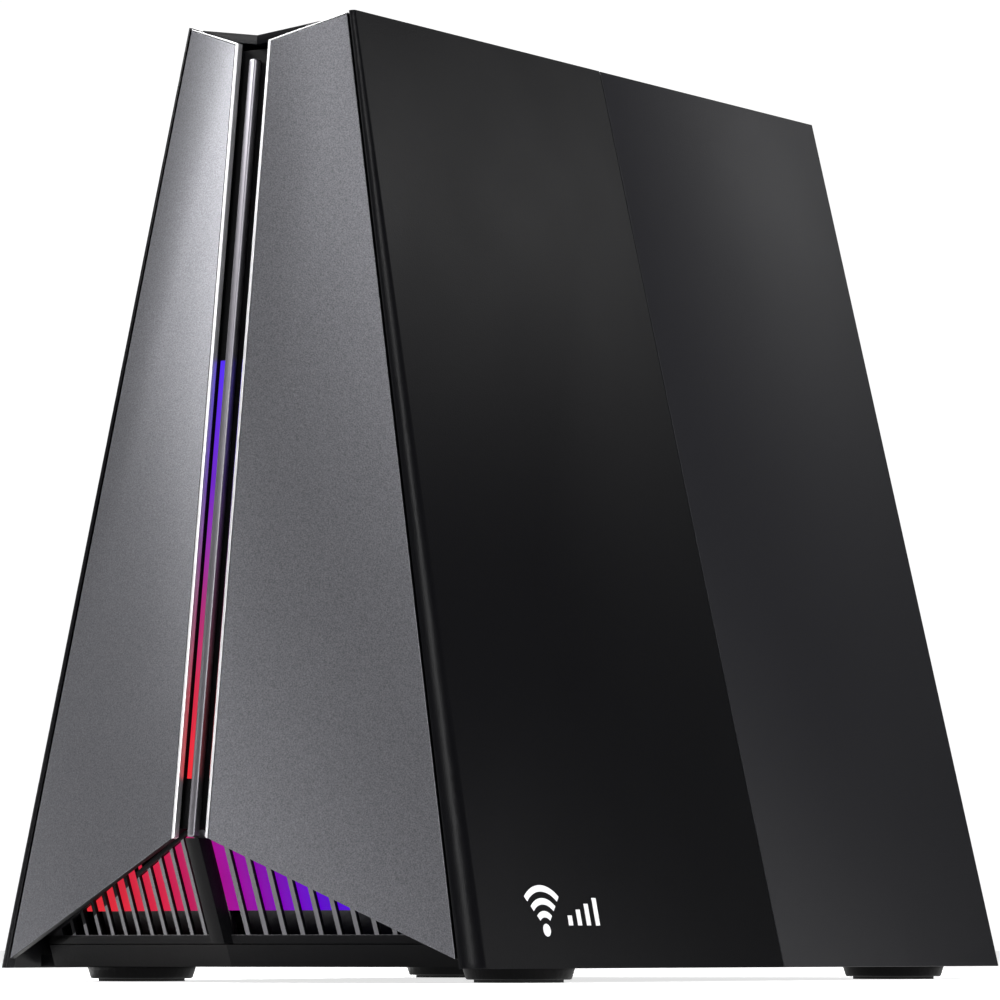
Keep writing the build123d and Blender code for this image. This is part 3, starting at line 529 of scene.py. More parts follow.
# Black lacquer of the light boards, so they don't tint the light
BOARD_BLACK = SolderMask("black_solder_mask", "#101012", 0.4)
# Matt chip packages with a sandy grain
CHIP_EPOXY = Moulded("moulded_epoxy", "#1B1B1D", 0.55, grain_mm=0.3, depth=0.15, mottle=0.1)
# Yellowish phosphor of the light chips
CHIP_WHITE = Moulded("phosphor_chip", "#E8E0B8", 0.4, grain_mm=0.3, depth=0.05, mottle=0.05)
# Tan ceramic of the small parts on the boards
CERAMIC = Moulded("tan_ceramic", "#8A6E4C", 0.5, grain_mm=0.2, depth=0.05, mottle=0.15)
# Tinned sheet with soft streaks: shields, the USB shell and solder caps
TIN = Metal("tinned_steel", "#B8B8B4", 0.3, grain_mm=0.6, depth=0.1)
# Extruded aluminium, streaked along its length
SINK_METAL = Metal("extruded_aluminium", "#A8AAAE", 0.4, streak=(1.0, 0.05, 1.0), grain_mm=0.3)
# Chalky gap filler between chip and heatsink
PAD_GREY = Moulded("silicone_gap_filler", "#8A8E98", 0.85, grain_mm=0.5, depth=0.2)
# Zinc-plated screws with a slightly cloudy shine
SCREW_STEEL = Metal("zinc_plated_steel", "#8C8C8E", 0.35, grain_mm=0.4, depth=0.1)
# Thin green laminate of the antennas
ANTENNA_GREEN = SolderMask("antenna_laminate", "#14503A", 0.45, track_mm=5.0)
# Smooth jacket of the antenna leads
COAX_BLACK = Moulded("fluoropolymer_jacket", "#1A1A1C", 0.35, grain_mm=0.5, depth=0.05)
# Gold contacts: warm and shiny in the dark sockets
GOLD = Metal("gold_plated_brass", "#D8A848", 0.25, grain_mm=0.3, depth=0.05)
# Glossy moulded sockets, black for the local ports and blue for the outside line
JACK_BLACK = Moulded("glossy_black_nylon", "#18181A", 0.25, grain_mm=0.6, depth=0.05, mottle=0.05)
JACK_BLUE = Moulded("glossy_blue_nylon", "#1A4E9E", 0.28, grain_mm=0.6, depth=0.05, mottle=0.05)
# Satin caps that fingers touch
BUTTON_BLACK = Moulded("satin_black_abs", "#1E1E20", 0.3, grain_mm=0.5, depth=0.08, mottle=0.05)
# Small link windows beside each socket
LINK_GREEN = Moulded("clear_green_window", "#5CA04C", 0.2, grain_mm=0.6, depth=0.03, mottle=0.1)
# Pad-printed marks: flat white ink
MARK_WHITE = Moulded("white_print", "#E8E8EA", 0.5, grain_mm=0.4, depth=0.05, mottle=0.03)
STAGE_WHITE = StudioPaper("studio_paper", "#F4F4F4", 0.9)


# ------------------------------------------------------------------ the frame and its nodes
@dataclass
class Frame:
    """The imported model: its nodes, and ways to dress or redraw them."""

    nodes: dict[str, bpy.types.Object] = field(default_factory=dict)
    slots: dict[str, str] = field(default_factory=dict)

    @classmethod
    def load(cls) -> Frame:
        """Loads the frame and the material slot that the record gives each node.

        Returns:
            The loaded frame.
        """
        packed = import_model()
        slots = {part["node"]: part["material_slot"] for part in packed["record"]["subparts"]}
        return cls(nodes=packed["nodes"], slots=slots)

    def dress(self, finish: Finish, *names: str) -> None:
        """Gives CAD nodes a finish.

        Args:
            finish: what they are made of.
            names: the nodes' names.
        """
        for name in names:
            node = self.nodes[name]
            if not node.material_slots:
                node.data.materials.append(None)
            for slot in node.material_slots:
                slot.material = finish.material()
            log.info("dressed %s in %s", name, finish.name)

    def merged(self, name: str) -> bmesh.types.BMesh:
        """Copies a node's mesh, with doubled corners and flat neighbours joined.

        Args:
            name: the node, whose own mesh stays as it is.

        Returns:
            The copy, which the caller frees.
        """
        copy = bmesh.new()
        copy.from_mesh(self.nodes[name].data)
        bmesh.ops.remove_doubles(copy, verts=copy.verts, dist=1e-6)
        bmesh.ops.dissolve_limit(
            copy, angle_limit=math.radians(0.6), verts=copy.verts, edges=copy.edges
        )
        return copy

    def soften(self, name: str, radius_mm: float, finish: Finish) -> bpy.types.Object:
        """Redraws a node with rounded edges in place of its CAD mesh.

        Args:
            name: the node.
            radius_mm: how far the rounding reaches.
            finish: what it is made of.

        Returns:
            The new piece.
        """
        mesh = bpy.data.meshes.new(f"{name}_rounded")
        copy = self.merged(name)
        copy.to_mesh(mesh)
        copy.free()
        piece = new_piece(f"{name}_rounded", mesh, finish)
        bevel = piece.modifiers.new("edge_radius", "BEVEL")
        bevel.width = radius_mm * MM
        bevel.segments = 2
        bevel.limit_method = "ANGLE"
        bevel.angle_limit = math.radians(30)
        bevel.harden_normals = True
        mesh.shade_smooth()
        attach(piece, HOUSING)
        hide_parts(name)
        log.info("redrew %s with %.2f mm edges", name, radius_mm)
        return piece


def new_piece(name: str, mesh: bpy.types.Mesh, finish: Finish) -> bpy.types.Object:
    """Makes an object at the origin from a mesh.

    Args:
        name: the piece's name.
        mesh: its mesh, already in place.
        finish: what it is made of.

    Returns:
        The object, linked into the scene.
    """
    piece = bpy.data.objects.new(name, mesh)
    bpy.context.scene.collection.objects.link(piece)
    mesh.materials.clear()
    mesh.materials.append(finish.material())
    return piece


def mesh_from(
    name: str, points: list[Vector], faces: list[tuple[int, ...]] | None = None
) -> bpy.types.Mesh:
    """Makes a mesh from points in millimetres.

    Args:
        name: the mesh's name.
        points: corners, in millimetres.
        faces: corner numbers of each face; none leaves loose points.

    Returns:
        The mesh, in metres.
    """
    mesh = bpy.data.meshes.new(name)
    mesh.from_pydata([Vector(point) * MM for point in points], [], faces or [])
    mesh.validate()
    return mesh


def prism(
    outline: Outline, thick: float, place: Callable[[float, float, float], Vector]
) -> tuple[list[Vector], list[tuple[int, ...]]]:
    """Thickens a flat outline.

    Args:
        outline: corners, counter-clockwise seen from the side the thickness grows to.
        thick: thickness in millimetres.
        place: turns a corner and a height into a point.

    Returns:
        Points and faces of the closed solid.
    """
    count = len(outline)
    points = [place(u, v, h) for h in (0.0, thick) for u, v in outline]
    faces = [tuple(reversed(range(count))), tuple(range(count, 2 * count))]
    for i in range(count):
        j = (i + 1) % count
        faces.append((i, j, count + j, count + i))
    return points, faces


def arc_band(
    centre: tuple[float, float], radius: float, width: float, start: float, stop: float, steps: int = 18
) -> Outline:
    """Draws the outline of a piece of a ring.

    Args:
        centre: the ring's centre.
        radius: the radius of its middle line.
        width: how wide the ring is.
        start: the angle it starts at, in degrees.
        stop: the angle it stops at, in degrees.
        steps: how many straight runs each edge has.

    Returns:
        Its corners, counter-clockwise.
    """
    angles = [math.radians(start + (stop - start) * i / steps) for i in range(steps + 1)]

    def edge(reach: float, turns: list[float]) -> Outline:
        """Points at one distance from the centre."""
        return [(centre[0] + reach * math.cos(a), centre[1] + reach * math.sin(a)) for a in turns]

    return edge(radius + width / 2, angles) + edge(radius - width / 2, angles[::-1])


def oblong(low: tuple[float, float], high: tuple[float, float]) -> Outline:
    """Outline of an upright rectangle, counter-clockwise from its lowest corner."""
    return [low, (high[0], low[1]), high, (low[0], high[1])]


def box_mm(name: str) -> Corners:
    """Box corners of a CAD node in millimetres."""
    low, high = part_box(name)
    return Vector(low) / MM, Vector(high) / MM


def rounded_box(name: str, size: tuple[float, float, float], edge: float) -> bpy.types.Mesh:
    """Makes a small block with rounded edges that stands on its origin.

    Args:
        name: the mesh's name.
        size: width, depth and height in millimetres.
        edge: how far the rounding reaches, in millimetres.

    Returns:
        The mesh, in metres.
    """
    wide, deep, high = size
    corners = oblong((-wide / 2, -deep / 2), (wide / 2, deep / 2))
    mesh = mesh_from(name, *prism(corners, high, lambda u, v, h: Vector((u, v, h))))
    shape = bmesh.new()
    shape.from_mesh(mesh)
    bmesh.ops.bevel(
        shape, geom=shape.edges[:], offset=edge * MM, segments=2, affect="EDGES", profile=0.5
    )
    shape.to_mesh(mesh)
    shape.free()
    return mesh


def lathe(name: str, profile: Outline, steps: int = 32) -> bpy.types.Mesh:
    """Turns a profile about Z.

    Args:
        name: the mesh's name.
        profile: pairs of radius and height in millimetres, from the lowest to the top.
        steps: how many flats go round.

    Returns:
        The closed mesh, in metres.
    """
    angles = [2 * math.pi * i / steps for i in range(steps)]
    points = [Vector((0.0, 0.0, profile[0][1]))]
    for radius, high in profile:
        points += [Vector((radius * math.cos(a), radius * math.sin(a), high)) for a in angles]
    faces = [(0, 1 + (i + 1) % steps, 1 + i) for i in range(steps)]
    for row in range(len(profile) - 1):
        low, high_row = 1 + row * steps, 1 + (row + 1) * steps
        for i in range(steps):
            j = (i + 1) % steps
            faces.append((low + i, low + j, high_row + j, high_row + i))
    last = 1 + (len(profile) - 1) * steps
    faces.append(tuple(last + i for i in range(steps)))
    return mesh_from(name, points, faces)


@dataclass
class Repeater:
    """Geometry Nodes that copy one small mesh onto points, baked to a single piece."""

    name: str
    unit: bpy.types.Mesh
    finish: Finish
    turn: tuple[float, float, float] = (0.0, 0.0, 0.0)
    smallest: tuple[float, float, float] = (1.0, 1.0, 1.0)
    largest: tuple[float, float, float] = (1.0, 1.0, 1.0)
    seed: int = 4
    cut: bpy.types.Mesh | None = None

    def tree(self) -> Tree:
        """Builds the node group with its named inputs.

        Returns:
            The group, which takes points and gives the copies in their finish.
        """
        group = bpy.data.node_groups.new(f"{self.name}_copies", "GeometryNodeTree")
        face = group.interface
        face.new_socket("Points", in_out="INPUT", socket_type="NodeSocketGeometry")
        for label, kind in (
            ("Unit", "NodeSocketObject"),
            ("Cutter", "NodeSocketObject"),
            ("Turn", "NodeSocketVector"),
            ("Smallest", "NodeSocketVector"),
            ("Largest", "NodeSocketVector"),
            ("Seed", "NodeSocketInt"),
            ("Finish", "NodeSocketMaterial"),
        ):
            face.new_socket(label, in_out="INPUT", socket_type=kind)
        face.new_socket("Geometry", in_out="OUTPUT", socket_type="NodeSocketGeometry")
        given = add_node(group, "NodeGroupInput").outputs
        unit = add_node(group, "GeometryNodeObjectInfo", inputs={"Object": given["Unit"]})
        shape = unit.outputs["Geometry"]
        if self.cut:
            cutter = add_node(group, "GeometryNodeObjectInfo", inputs={"Object": given["Cutter"]})
            carved = add_node(
                group,
                "GeometryNodeMeshBoolean",
                {"operation": "DIFFERENCE", "solver": "EXACT"},
                {"Mesh 1": shape, "Mesh 2": cutter.outputs["Geometry"]},
            )
            shape = carved.outputs["Mesh"]
        size = add_node(
            group,
            "FunctionNodeRandomValue",
            {"data_type": "FLOAT_VECTOR"},
            {0: given["Smallest"], 1: given["Largest"], "Seed": given["Seed"]},
        )
        copies = add_node(
            group,
            "GeometryNodeInstanceOnPoints",
            inputs={
                "Points": given["Points"],
                "Instance": shape,
                "Rotation": given["Turn"],
                "Scale": size.outputs[0],
            },
        )
        real = add_node(group, "GeometryNodeRealizeInstances", inputs={0: copies.outputs[0]})
        dressed = add_node(
            group,
            "GeometryNodeSetMaterial",
            inputs={"Geometry": real.outputs[0], "Material": given["Finish"]},
        )
        add_node(group, "NodeGroupOutput", inputs={0: dressed.outputs[0]})
        return group

    def bake(self, points: Spots) -> bpy.types.Object:
        """Copies the unit onto points and bakes the result.

        Args:
            points: places of the copies, in millimetres.

        Returns:
            The finished piece, which has no modifier left.
        """
        host = bpy.data.objects.new(f"{self.name}_points", mesh_from(f"{self.name}_points", points))
        unit = bpy.data.objects.new(f"{self.name}_unit", self.unit)
        cutter = bpy.data.objects.new(f"{self.name}_cutter", self.cut) if self.cut else None
        helpers = [item for item in (host, unit, cutter) if item]
        for item in helpers:
            bpy.context.scene.collection.objects.link(item)
        group = self.tree()
        modifier = host.modifiers.new("copies", "NODES")
        modifier.node_group = group
        values = {
            "Unit": unit,
            "Cutter": cutter,
            "Turn": [math.radians(angle) for angle in self.turn],
            "Smallest": self.smallest,
            "Largest": self.largest,
            "Seed": self.seed,
            "Finish": self.finish.material(),
        }
        for item in group.interface.items_tree:
            if item.in_out == "INPUT" and values.get(item.name) is not None:
                modifier[item.identifier] = values[item.name]
        bpy.context.view_layer.update()
        graph = bpy.context.evaluated_depsgraph_get()
        mesh = bpy.data.meshes.new_from_object(host.evaluated_get(graph), depsgraph=graph)
        host.modifiers.remove(modifier)
        for item in helpers:
            bpy.data.objects.remove(item)
        piece = new_piece(self.name, mesh, self.finish)
        log.info("%s: %d copies, %d faces", self.name, len(points), len(mesh.polygons))
        return piece


# ------------------------------------------------------------------ studio
@dataclass
class Softbox:
    """A rectangular lamp aimed at a point."""

    name: str
    place: tuple[float, float, float]
    aim: tuple[float, float, float]
    size: tuple[float, float]
    power: float

    def build(self) -> bpy.types.Object:
        """Makes the lamp and turns it to its aim.

        Returns:
            The lamp, which the camera doesn't see.
        """
        lamp = bpy.data.lights.new(self.name, "AREA")
        lamp.shape = "RECTANGLE"
        lamp.size, lamp.size_y = self.size
        lamp.energy = self.power
        lamp_object = bpy.data.objects.new(self.name, lamp)
        lamp_object.visible_camera = False
        lamp_object.location = self.place
        direction = Vector(self.aim) - Vector(self.place)
        lamp_object.rotation_euler = direction.to_track_quat("-Z", "Y").to_euler()
        bpy.context.scene.collection.objects.link(lamp_object)
        return lamp_object


@dataclass
class Studio:
    """Camera, lamps, floor and the pale surroundings."""

    camera_place: tuple[float, float, float] = (0.563125, -0.944154, 0.006957)
    pitch: float = 5.124
    heading: float = 30.466
    lens_mm: float = 180.0
    film_mm: float = 36.0
    floor_half: float = 12.0
    dim: float = 0.08
    pale: float = 1.05
    lamps: list[Softbox] = field(
        default_factory=lambda: [
            Softbox("left_near", (-0.44, -0.29, 0.47), (0, -0.09, 0.19), (0.16, 0.16), 1.1),
            Softbox("left_high", (-0.38, -0.27, 0.62), (0, -0.09, 0.19), (0.2, 0.16), 6.4),
            Softbox("front_high", (0.03, -0.62, 0.56), (0, -0.1, 0.18), (0.3, 0.2), 1.15),
            Softbox("right_edge", (0.95, -0.5, 0.5), (0.05, -0.06, 0.12), (0.16, 0.8), 10.0),
            Softbox("rear_side", (0.62, 1.0, 0.85), (0.05, 0.09, 0.2), (0.35, 0.3), 1.1),
            Softbox("rear_far", (1.1, 1.35, 0.95), (0.05, 0.09, 0.2), (0.5, 0.5), 0.8),
        ]
    )

    def build(self) -> None:
        """Builds everything that isn't the router."""
        camera = bpy.data.objects.new("camera", bpy.data.cameras.new("camera"))
        camera.data.lens = self.lens_mm
        camera.data.sensor_width = self.film_mm
        camera.data.clip_end = 100.0
        camera.location = self.camera_place
        camera.rotation_euler = (math.radians(90 + self.pitch), 0.0, math.radians(self.heading))
        bpy.context.scene.collection.objects.link(camera)
        bpy.context.scene.camera = camera
        bpy.context.scene.view_settings.view_transform = "Standard"
        for lamp in self.lamps:
            lamp.build()
        self.floor()
        self.surroundings()
        log.info("studio: %d lamps", len(self.lamps))

    def floor(self) -> None:
        """Lays a pale floor under the feet."""
        half = self.floor_half
        mesh = bpy.data.meshes.new("floor")
        corners = [(-half, -half, 0), (half, -half, 0), (half, half, 0), (-half, half, 0)]
        mesh.from_pydata(corners, [], [(0, 1, 2, 3)])
        floor = new_piece("floor", mesh, STAGE_WHITE)

    def surroundings(self) -> None:
        """Pale behind the router, dim elsewhere, so dark plastic stays dark."""
        world = bpy.data.worlds.new("studio")
        bpy.context.scene.world = world
        world.use_nodes = True
        tree = world.node_tree
        tree.nodes.clear()
        place = add_node(tree, "ShaderNodeTexCoord")
        turn = math.radians(self.heading)
        view = {0: place.outputs["Generated"], 1: (-math.sin(turn), math.cos(turn), 0.0)}
        ahead = add_node(tree, "ShaderNodeVectorMath", {"operation": "DOT_PRODUCT"}, view)
        level = remap(tree, ahead.outputs["Value"], (self.dim, self.pale), (0.8, 0.95))
        level.node.interpolation_type = "SMOOTHSTEP"
        pale = {"Color": linear("#FFFFFF"), "Strength": level}
        glow = add_node(tree, "ShaderNodeBackground", inputs=pale)
        add_node(tree, "ShaderNodeOutputWorld", inputs={"Surface": glow.outputs[0]})


# ------------------------------------------------------------------ sub-assemblies
SIDES = ("left", "right")


@dataclass
class Front:
    """Wings, cut edges, channel, fin, light strips and the lit grille."""

    frame: Frame
    wing_edge_mm: float = 0.2
    trim_edge_mm: float = 0.06
    fin_edge_mm: float = 0.5
    rib_edge_mm: float = 0.15
    prow_half_mm: float = 1.8

    def build(self) -> None:
        """Redraws the visible mouldings with rounded edges."""
        for side in SIDES:
            panel = self.frame.soften(f"wing_panel_{side}", self.wing_edge_mm, WING_GREY)
            # Grey paint on the panels' front faces only, black elsewhere: real paint on the back, and on the
            # edges the black also stands in for the shade in the gaps beside them
            panel.data.materials.append(STRUCTURE_BLACK.material())
            for face in panel.data.polygons:
                face.material_index = 0 if face.normal.y < -FACING else 1
            self.frame.soften(f"wing_trim_{side}", self.trim_edge_mm, CUT_EDGE)
        self.frame.soften("center_fin", self.fin_edge_mm, SATIN_FIN)
        grille = self.frame.soften("front_grille", self.rib_edge_mm, RIB_GREY)
        grille.data.materials.append(STRUCTURE_BLACK.material())
        for face in grille.data.polygons:
            on_prow = abs(face.center.x) < self.prow_half_mm * MM
            face.material_index = 1 if on_prow or face.normal.y > -FACING else 0

    def dress(self) -> None:
        """Gives the rest of the front its finishes."""
        for side in SIDES:
            self.frame.dress(STRIP_LIGHT, f"light_strip_{side}")
            self.frame.dress(GLOW_LIGHT, f"grille_diffuser_{side}")
            self.frame.dress(BOARD_BLACK, f"glow_board_{side}")
        self.frame.dress(STRUCTURE_BLACK, "front_carrier")
        self.frame.dress(BOARD_BLACK, "light_board")
        self.frame.dress(CHIP_WHITE, "light_chips")


@dataclass
class Shells:
    """Side shells, cover, rear panel, base and feet."""

    frame: Frame
    shell_edge_mm: float = 0.35
    cover_edge_mm: float = 0.3
    mark_centre: tuple[float, float] = (-68.6, 10.6)
    mark_radii: tuple[float, ...] = (3.2, 5.8, 8.4)
    mark_line: float = 1.3
    mark_spread: tuple[float, float] = (48.0, 132.0)
    dot_radius: float = 1.3
    bar_start: float = -60.5
    bar_pitch: float = 3.2
    bar_width: float = 1.5
    bar_lift: float = 1.0
    bar_heights: tuple[float, ...] = (2.0, 3.2, 4.4, 5.6)
    ink_mm: float = 0.04

    def build(self) -> None:
        """Redraws the outer mouldings with rounded edges."""
        for side in SIDES:
            self.frame.soften(f"side_front_{side}", self.shell_edge_mm, SHELL_BLACK)
            self.frame.soften(f"side_rear_{side}", self.shell_edge_mm, REAR_BLACK)
            for end in ("front", "rear"):
                self.frame.soften(f"foot_{end}_{side}", self.cover_edge_mm, STRUCTURE_BLACK)
        self.frame.soften("top_cover", self.cover_edge_mm, SHELL_BLACK)
        self.frame.soften("rear_panel", self.cover_edge_mm, REAR_BLACK)
        self.side_mark()

    def side_mark(self) -> None:
        """Prints a generic signal mark low on the right side: a dot, arcs and level bars."""
        node = self.frame.nodes["side_front_right"]
        skin = BVHTree.FromPolygons(
            [vertex.co.copy() for vertex in node.data.vertices],
            [tuple(face.vertices) for face in node.data.polygons],
        )

        def place(along: float, up: float, out: float) -> Vector:
            """Finds a point on the side's skin.

            Args:
                along: its place from front to back, in millimetres.
                up: its height.
                out: how far it is lifted off the ink's underside.

            Returns:
                The point, in millimetres.
            """
            start = Vector((0.2, along * MM, up * MM))
            hit, normal, _, _ = skin.ray_cast(start, Vector((-1.0, 0.0, 0.0)))
            return (hit + normal * (self.ink_mm / 2 + out) * MM) / MM

        centre = self.mark_centre
        turns = [math.radians(20 * i) for i in range(18)]
        reach = self.dot_radius
        shapes = [[(centre[0] + reach * math.cos(a), centre[1] + reach * math.sin(a)) for a in turns]]
        for radius in self.mark_radii:
            shapes.append(arc_band(centre, radius, self.mark_line, *self.mark_spread))
        low = centre[1] + self.bar_lift
        for i, high in enumerate(self.bar_heights):
            left = self.bar_start + i * self.bar_pitch
            shapes.append(oblong((left, low), (left + self.bar_width, low + high)))
        points: list[Vector] = []
        faces: list[tuple[int, ...]] = []
        for shape in shapes:
            more, sides = prism(shape, self.ink_mm, place)
            faces += [tuple(i + len(points) for i in side) for side in sides]
            points += more
        piece = new_piece("signal_mark", mesh_from("signal_mark", points, faces), MARK_WHITE)
        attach(piece, HOUSING)
        log.info("printed the side mark")

    def dress(self) -> None:
        """Gives the base and pads their finishes."""
        self.frame.dress(STRUCTURE_BLACK, "base_plate")
        self.frame.dress(RUBBER, "foot_pads")


@dataclass
class Fasteners:
    """Pan-head screws with a cross recess, in place of the CAD's plain ones."""

    frame: Frame
    head_radius: float = 2.2
    head_height: float = 1.5
    shank_radius: float = 1.0
    board_shank: float = 5.0
    arm_half: float = 0.28

    def screw(self, shank: float) -> bpy.types.Mesh:
        """Turns a screw whose head stands on the origin, with the shank below it.

        Args:
            shank: how far the shank reaches below the head, in millimetres.

        Returns:
            The screw's mesh, without its recess.
        """
        head, top = self.head_radius, self.head_height
        profile = [
            (self.shank_radius * 0.6, -shank),
            (self.shank_radius, -shank + 0.5),
            (self.shank_radius, 0.0),
            (head * 0.98, 0.0),
            (head, 0.15),
            (head, top * 0.5),
            (head * 0.9, top * 0.8),
            (head * 0.68, top),
        ]
        return lathe("screw", profile)

    def recess(self) -> bpy.types.Mesh:
        """Makes the cross that is cut into a head, a little deeper than half of it.

        Returns:
            The cutter's mesh.
        """
        arm, half, low = self.head_radius * 0.52, self.arm_half, self.head_height * 0.4
        cross = [
            (-half, -arm), (half, -arm), (half, -half), (arm, -half), (arm, half), (half, half),
            (half, arm), (-half, arm), (-half, half), (-arm, half), (-arm, -half), (-half, -half),
        ]
        shape = prism(cross, 2 * self.head_height, lambda u, v, h: Vector((u, v, low + h)))
        return mesh_from("cross_recess", *shape)

    def solids(self, name: str) -> list[Corners]:
        """Finds the separate solids of a node.

        Args:
            name: the node.

        Returns:
            The low and high box corners of each solid, in millimetres.
        """
        shape = self.frame.merged(name)
        boxes, seen = [], set()
        for start in shape.verts:
            if start in seen:
                continue
            stack, group = [start], []
            seen.add(start)
            while stack:
                vertex = stack.pop()
                group.append(vertex.co / MM)
                for edge in vertex.link_edges:
                    other = edge.other_vert(vertex)
                    if other not in seen:
                        seen.add(other)
                        stack.append(other)
            low = Vector(min(point[i] for point in group) for i in range(3))
            boxes.append((low, Vector(max(point[i] for point in group) for i in range(3))))
        shape.free()
        return boxes

    def build(self) -> None:
        """Redraws the base's screws and the boards' screws."""
        base = self.solids("base_screws")
        shank = max(up.z - low.z for low, up in base) - self.head_height
        heads = [((low.x + up.x) / 2, (low.y + up.y) / 2, low.z + self.head_height) for low, up in base]
        self.place("base_screws", ((180.0, 0.0, 0.0), shank, heads))
        upright, lying = [], []
        for low, up in self.solids("board_screws"):
            middle = (low + up) / 2
            if up.z - low.z > 2 * self.head_radius + 1:
                upright.append((middle.x, middle.y, up.z - self.head_height))
            else:
                lying.append((middle.x, low.y + self.head_height, middle.z))
        shank = self.board_shank
        self.place("board_screws", ((0.0, 0.0, 0.0), shank, upright), ((90.0, 0.0, 0.0), shank, lying))

    def place(self, name: str, *groups: tuple) -> None:
        """Bakes screws for a node and takes its place.

        Args:
            name: the CAD node.
            groups: each a turn in degrees, a shank length and the places of the heads' undersides.
        """
        pieces = []
        for number, (turn, shank, spots) in enumerate(groups, 1):
            maker = Repeater(
                f"{name}_cross_{number}", self.screw(shank), SCREW_STEEL, turn=turn, cut=self.recess()
            )
            pieces.append(maker.bake(spots))
        for piece in pieces:
            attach(piece, HOUSING)
            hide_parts(name)
        log.info("redrew %s in %d groups", name, len(pieces))


